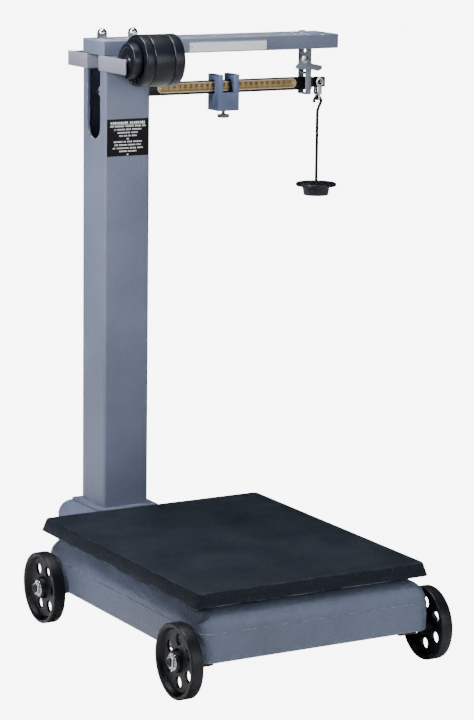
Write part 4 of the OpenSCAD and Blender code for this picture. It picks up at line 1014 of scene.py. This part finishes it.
class SCALE_OT_beam(Operator):
    """Beam with its brass plate, marks and numbers, pivots and balance weight"""

    bl_idname = "scale.beam"
    bl_label = "Beam"

    def execute(self, context):
        eased_copy("beam_bar", "black_paint", 0.0005, 2)
        self.plate()
        for node in ("fulcrum_pivot", "load_pivot", "nose_pivot"):
            refinish(node, "bright_steel")
        eased_copy("fulcrum_stand", "zinc", 0.0005, 2)
        refinish("fulcrum_bearings", "bright_steel")
        refinish("balance_screw", "bright_steel")
        low, high = corners("balance_weight")
        mid = (low + high) / 2
        r = (high.z - low.z) / 2
        outline = round_off([(0.00255, 0), (r, 0), (r, high.x - low.x), (0.00255, high.x - low.x)],
                            [0, 0.0016, 0.0016, 0])
        centre = Vector((low.x, mid.y, mid.z))
        place(turned_piece("balance_weight_piece", outline, centre, ALONG_X, 48, True),
              "balance_weight", "zinc")
        return {"FINISHED"}

    @staticmethod
    def lozenge(name, low, high, inset_by, front, back):
        """A flat strip with round ends that faces the front"""
        r = (high.z - low.z) / 2 - inset_by
        z = (high.z + low.z) / 2
        ends = ((high.x - inset_by - r, -90), (low.x + inset_by + r, 90))
        rings = []
        for d, y in ((0.0, back), (0.0, front + 0.00015), (0.00015, front)):
            rings.append([
                Vector((x + (r - d) * math.cos(math.radians(start + k * 11.25)), y,
                        z + (r - d) * math.sin(math.radians(start + k * 11.25))))
                for x, start in ends for k in range(17)
            ])
        return stacked(name, rings)

    def plate(self):
        s = sizes()
        low, high = corners("scale_plate")
        front = low.y
        rim = self.lozenge("scale_plate_piece", low, high, 0.0, front + 0.0001, high.y)
        place(rim, "scale_plate", "border")
        field = self.lozenge("scale_field", low, high, 0.0011, front, front + 0.0003)
        place(field, "scale_plate", "brass", stands_for=False)
        start = low.x + 0.0125
        marks = bmesh.new()
        for k in range(s.divisions + 1):
            x = start + k * s.division
            tall = 0.0062 if k % 10 == 0 else 0.0052 if k % s.numbered == 0 else 0.0036
            wide = 0.00045 if k % s.numbered else 0.00070
            if x + wide > high.x - 0.006:
                break
            add_box(marks, (x - wide, front - 0.00008, low.z + 0.0026),
                    (x + wide, front + 0.0001, low.z + 0.0026 + tall))
            if k % s.numbered == 0 and k:
                self.number(marks, str(k), x, front, low.z + 0.0096, 0.0100)
        place(solid("scale_marks", marks), "scale_plate", "ink", stands_for=False)
        rivets = bmesh.new()
        rivet_low, rivet_high = corners("scale_rivets")
        z = (rivet_low.z + rivet_high.z) / 2
        r = (rivet_high.z - rivet_low.z) / 2
        for x in (rivet_low.x + r, rivet_high.x - r):
            turned(rivets, [(0, 0), (r * 0.6, 0.00004), (r, 0.0002), (r, 0.0005)],
                   Vector((x, rivet_low.y, z)), ALONG_Y, 20)
        place(solid("scale_rivets_piece", rivets, 60.0), "scale_rivets", "border")

    @staticmethod
    def number(marks, text, x, front, foot, size):
        """Adds a number's flat outline to the marks"""
        curve = bpy.data.curves.new("number", "FONT")
        curve.body = text
        curve.size = size
        curve.align_x = "CENTER"
        curve.extrude = 0.00008
        curve.offset = 0.00040
        curve.resolution_u = 2
        holder = bpy.data.objects.new("number", curve)
        bpy.context.collection.objects.link(holder)
        bpy.context.view_layer.update()
        shown = holder.evaluated_get(bpy.context.evaluated_depsgraph_get())
        mesh = bpy.data.meshes.new_from_object(shown)
        narrow = 0.74
        squeeze = Matrix.Diagonal((narrow, 1.0, 1.0)).to_4x4()
        mesh.transform(Matrix.Translation((x, front, foot)) @ FACING_FRONT.to_4x4() @ squeeze)
        marks.from_mesh(mesh)
        bpy.data.objects.remove(holder)
        bpy.data.meshes.remove(mesh)


class SCALE_OT_poise(Operator):
    """Sliding poise and its thumb screw"""

    bl_idname = "scale.poise"
    bl_label = "Poise"

    def execute(self, context):
        eased_copy("poise_block", "blue_zinc", 0.0008, 3)
        low, high = corners("poise_screw")
        mid = (low + high) / 2
        tall = high.z - low.z
        knob = (high.x - low.x) / 2
        outline = round_off([(0, 0), (knob, 0), (knob, 0.007), (0.006, 0.007), (0.0035, 0.009),
                             (0.0035, tall), (0, tall)], [0, 0.0015, 0.0015, 0.001, 0.001, 0.0006, 0])
        screw = bmesh.new()
        turned(screw, outline, Vector((mid.x, mid.y, low.z)), UPRIGHT, 72)
        for v in screw.verts:
            off = Vector((v.co.x - mid.x, v.co.y - mid.y))
            if off.length > knob * 0.97:
                turn = math.atan2(off.y, off.x)
                scale = 1.0 - 0.035 * (0.5 + 0.5 * math.cos(turn * 24))
                v.co.x, v.co.y = mid.x + off.x * scale, mid.y + off.y * scale
        place(solid("poise_screw_piece", screw), "poise_screw", "zinc")
        return {"FINISHED"}


class SCALE_OT_hanger(Operator):
    """Shackle on the beam's nose, hooked rod and counterpoise plate"""

    bl_idname = "scale.hanger"
    bl_label = "Hanger"

    def execute(self, context):
        eased_copy("nose_loop", "bright_steel", 0.0005, 2)
        low, high = corners("hanger_rod")
        mid = (low + high) / 2
        r, hook = 0.0032, 0.0088
        eye = high.z - r - hook
        x = middle("hanger_plate").x
        path = []
        for k in range(25):
            a = math.radians(200 - 220 * k / 24)
            path.append(Vector((x + hook * math.cos(a), mid.y, eye + hook * math.sin(a))))
        bend = Vector((x, mid.y, eye - hook - 0.012))
        for k in range(1, 5):
            path.append(path[24].lerp(bend, k / 5.5))
        for k in range(1, 6):
            t = k / 6
            path.append(path[28].lerp(bend, t).lerp(bend.lerp(bend - Vector((0, 0, 0.006)), t), t))
        path.append(bend - Vector((0, 0, 0.006)))
        path.append(Vector((x, mid.y, low.z)))
        rod = bmesh.new()
        tube(rod, path, r)
        place(solid("hanger_rod_piece", rod, 50.0), "hanger_rod", "black_paint")
        plate_low, plate_high = corners("hanger_plate")
        plate_mid = (plate_low + plate_high) / 2
        big = (plate_high.x - plate_low.x) / 2
        tall = plate_high.z - plate_low.z
        outline = round_off([(r, 0), (0.027, 0), (0.0305, tall - 0.007), (big, tall - 0.007),
                             (big, tall), (r, tall)], [0.0004, 0.002, 0.003, 0.0022, 0.0028, 0.0004], 5)
        plate = turned_piece("hanger_plate_piece", outline, Vector((x, plate_mid.y, plate_low.z)),
                             UPRIGHT, 96, True)
        place(plate, "hanger_plate", "black_iron")
        return {"FINISHED"}


class SCALE_OT_loop(Operator):
    """Loop round the beam's tip and the latch that locks the beam"""

    bl_idname = "scale.loop"
    bl_label = "Loop and latch"

    def execute(self, context):
        eased_copy("trig_loop", "zinc", 0.0005, 2)
        eased_copy("beam_latch", "zinc", 0.0005, 2)
        low, high = corners("latch_screw")
        mid = (low + high) / 2
        r = (high.z - low.z) / 2
        head = high.y - low.y
        outline = [(0, 0.0002)]
        for k in range(6):
            a = math.pi / 2 * (1 - k / 6)
            outline.append((r * math.cos(a) * 0.99, 0.0014 * (1 - math.sin(a))))
        outline += [(r, 0.0022), (r, 0.0035), (0.0035, 0.0035), (0.0035, head), (0, head)]
        screw = turned_piece("latch_screw_piece", outline, Vector((mid.x, low.y, mid.z)), ALONG_Y, 40)
        slot = plain_block("slot", Vector((mid.x - 0.0008, low.y - 0.001, mid.z - 0.02)),
                           Vector((mid.x + 0.0008, low.y + 0.0012, mid.z + 0.02)))
        lean = Matrix.Rotation(0.6, 4, "Y")
        slot.data.transform(Matrix.Translation(mid) @ lean @ Matrix.Translation(-mid))
        cut(screw, [slot], sharp=36.0)
        place(screw, "latch_screw", "bright_steel")
        return {"FINISHED"}


class SCALE_OT_underside(Operator):
    """Levers, stands, link and weighbridge below the platform"""

    bl_idname = "scale.underside"
    bl_label = "Underside"

    def execute(self, context):
        for node in ("lever_stands", "long_lever", "short_lever", "weighbridge"):
            refinish(node, "dark_iron")
        for node in ("long_lever_pivots", "short_lever_pivots", "weighbridge_bearings"):
            refinish(node, "bright_steel")
        for node in ("lever_link", "rod_shackle", "load_loop"):
            refinish(node, "zinc")
        refinish("stand_bolts", "dark_steel")
        refinish("steelyard_rod", "dark_steel")
        return {"FINISHED"}


class SCALE_OT_stage(Operator):
    """Pale floor, soft lights and the camera"""

    bl_idname = "scale.stage"
    bl_label = "Stage"

    def execute(self, context):
        self.floor()
        self.lights(context)
        self.camera(context)
        return {"FINISHED"}

    @staticmethod
    def floor():
        bm = bmesh.new()
        bmesh.ops.create_grid(bm, x_segments=1, y_segments=1, size=60.0)
        mesh = bpy.data.meshes.new("floor")
        bm.to_mesh(mesh)
        bm.free()
        piece = new_object("floor", mesh)
        material, tree, shader = start_finish("Floor paper", 0.9, specular=0.1)
        place_out = tree.nodes.new("ShaderNodeTexCoord").outputs["Object"]
        fibres = noise(tree, place_out, 900.0, 2.0)
        colour = tuple(colours().floor)
        tree.links.new(tint(tree, shade(colour, 0.985), colour, fibres), shader.inputs["Base Color"])
        glow = tree.nodes.new("ShaderNodeEmission")
        glow.inputs["Strength"].default_value = BACKDROP
        seen = tree.nodes.new("ShaderNodeLightPath").outputs["Is Camera Ray"]
        blend = tree.nodes.new("ShaderNodeMixShader")
        tree.links.new(sums(tree, "MULTIPLY", seen, 0.85), blend.inputs[0])
        tree.links.new(tree.nodes["Principled BSDF"].outputs[0], blend.inputs[1])
        tree.links.new(glow.outputs[0], blend.inputs[2])
        tree.links.new(blend.outputs[0], tree.nodes["Material Output"].inputs["Surface"])
        mesh.materials.append(material)

    @staticmethod
    def lights(context):
        world = bpy.data.worlds.new("studio")
        world.use_nodes = True
        tree = world.node_tree
        sky = tree.nodes["Background"]
        split = tree.nodes.new("ShaderNodeSeparateXYZ")
        tree.links.new(tree.nodes.new("ShaderNodeTexCoord").outputs["Generated"], split.inputs[0])
        room = spread(tree, split.outputs["Z"], -0.05, 0.75, 0.12, 0.85)
        seen = tree.nodes.new("ShaderNodeLightPath").outputs["Is Camera Ray"]
        blend = tree.nodes.new("ShaderNodeMix")
        tree.links.new(seen, blend.inputs["Factor"])
        tree.links.new(room, blend.inputs[2])
        blend.inputs[3].default_value = BACKDROP
        tree.links.new(blend.outputs[0], sky.inputs["Strength"])
        context.scene.world = world
        aim = middle("pillar")
        aim.z = 0.5
        aim_high = aim + Vector((0, 0, 0.55))
        for name, where, size, power, tone in (
            ("key", (-4.2, -1.0, 2.9), 1.6, 14.0, (1.0, 0.98, 1.0)),
            ("top", (-0.4, 0.5, 4.2), 2.0, 240.0, (1.0, 1.0, 1.0)),
            ("fill", (1.6, -5.2, 2.0), 3.0, 112.0, (0.94, 0.98, 1.0)),
        ):
            lamp = bpy.data.lights.new(name, "AREA")
            lamp.shape = "DISK"
            lamp.size = size
            lamp.energy = power
            lamp.color = tone
            lamp.spread = math.radians(24.0 if name == "key" else 180.0)
            holder = bpy.data.objects.new(name, lamp)
            holder.location = where
            look = (aim_high if name == "key" else aim) - Vector(where)
            holder.rotation_euler = look.to_track_quat("-Z", "Y").to_euler()
            context.collection.objects.link(holder)

    @staticmethod
    def camera(context):
        yaw, pitch, roll = (math.radians(v) for v in (29.995, 10.98, 0.718))
        flat = math.cos(pitch)
        ahead = Vector((math.sin(yaw) * flat, math.cos(yaw) * flat, -math.sin(pitch)))
        level = Vector((math.cos(yaw), -math.sin(yaw), 0))
        up = level.cross(ahead)
        right = math.cos(roll) * level + math.sin(roll) * up
        above = right.cross(ahead)
        lens = bpy.data.cameras.new("camera")
        lens.lens = 139.94
        lens.sensor_width = 36.0
        lens.clip_start = 0.1
        lens.clip_end = 60.0
        holder = bpy.data.objects.new("camera", lens)
        turn = Matrix((right, above, -ahead)).transposed().to_4x4()
        holder.matrix_world = Matrix.Translation((-2.83305, -4.8443, 1.6434)) @ turn
        context.collection.objects.link(holder)
        context.scene.camera = holder


STEPS = (
    SCALE_OT_finishes, SCALE_OT_base, SCALE_OT_platform, SCALE_OT_pillar, SCALE_OT_label,
    SCALE_OT_shelf, SCALE_OT_rack, SCALE_OT_weights, SCALE_OT_wheels, SCALE_OT_beam,
    SCALE_OT_poise, SCALE_OT_hanger, SCALE_OT_loop, SCALE_OT_underside, SCALE_OT_stage,
)


class SCALE_PT_panel(Panel):
    """Lists the scale's pieces and their sizes and colours"""

    bl_idname = "SCALE_PT_panel"
    bl_label = "Beam scale"
    bl_space_type = "VIEW_3D"
    bl_region_type = "UI"
    bl_category = "Beam scale"

    def draw(self, context):
        for step in STEPS:
            self.layout.operator(step.bl_idname)
        for group in (context.scene.scale_sizes, context.scene.scale_colours):
            box = self.layout.box()
            for label in group.__annotations__:
                box.prop(group, label)


CLASSES = (ScaleSizes, ScaleColours) + STEPS + (SCALE_PT_panel,)


def register():
    for kind in CLASSES:
        bpy.utils.register_class(kind)
    bpy.types.Scene.scale_sizes = PointerProperty(type=ScaleSizes)
    bpy.types.Scene.scale_colours = PointerProperty(type=ScaleColours)


def unregister():
    del bpy.types.Scene.scale_colours
    del bpy.types.Scene.scale_sizes
    for kind in reversed(CLASSES):
        bpy.utils.unregister_class(kind)


def main():
    register()
    for step in STEPS:
        area, action = step.bl_idname.split(".")
        getattr(getattr(bpy.ops, area), action)()


if __name__ == "__main__":
    main()
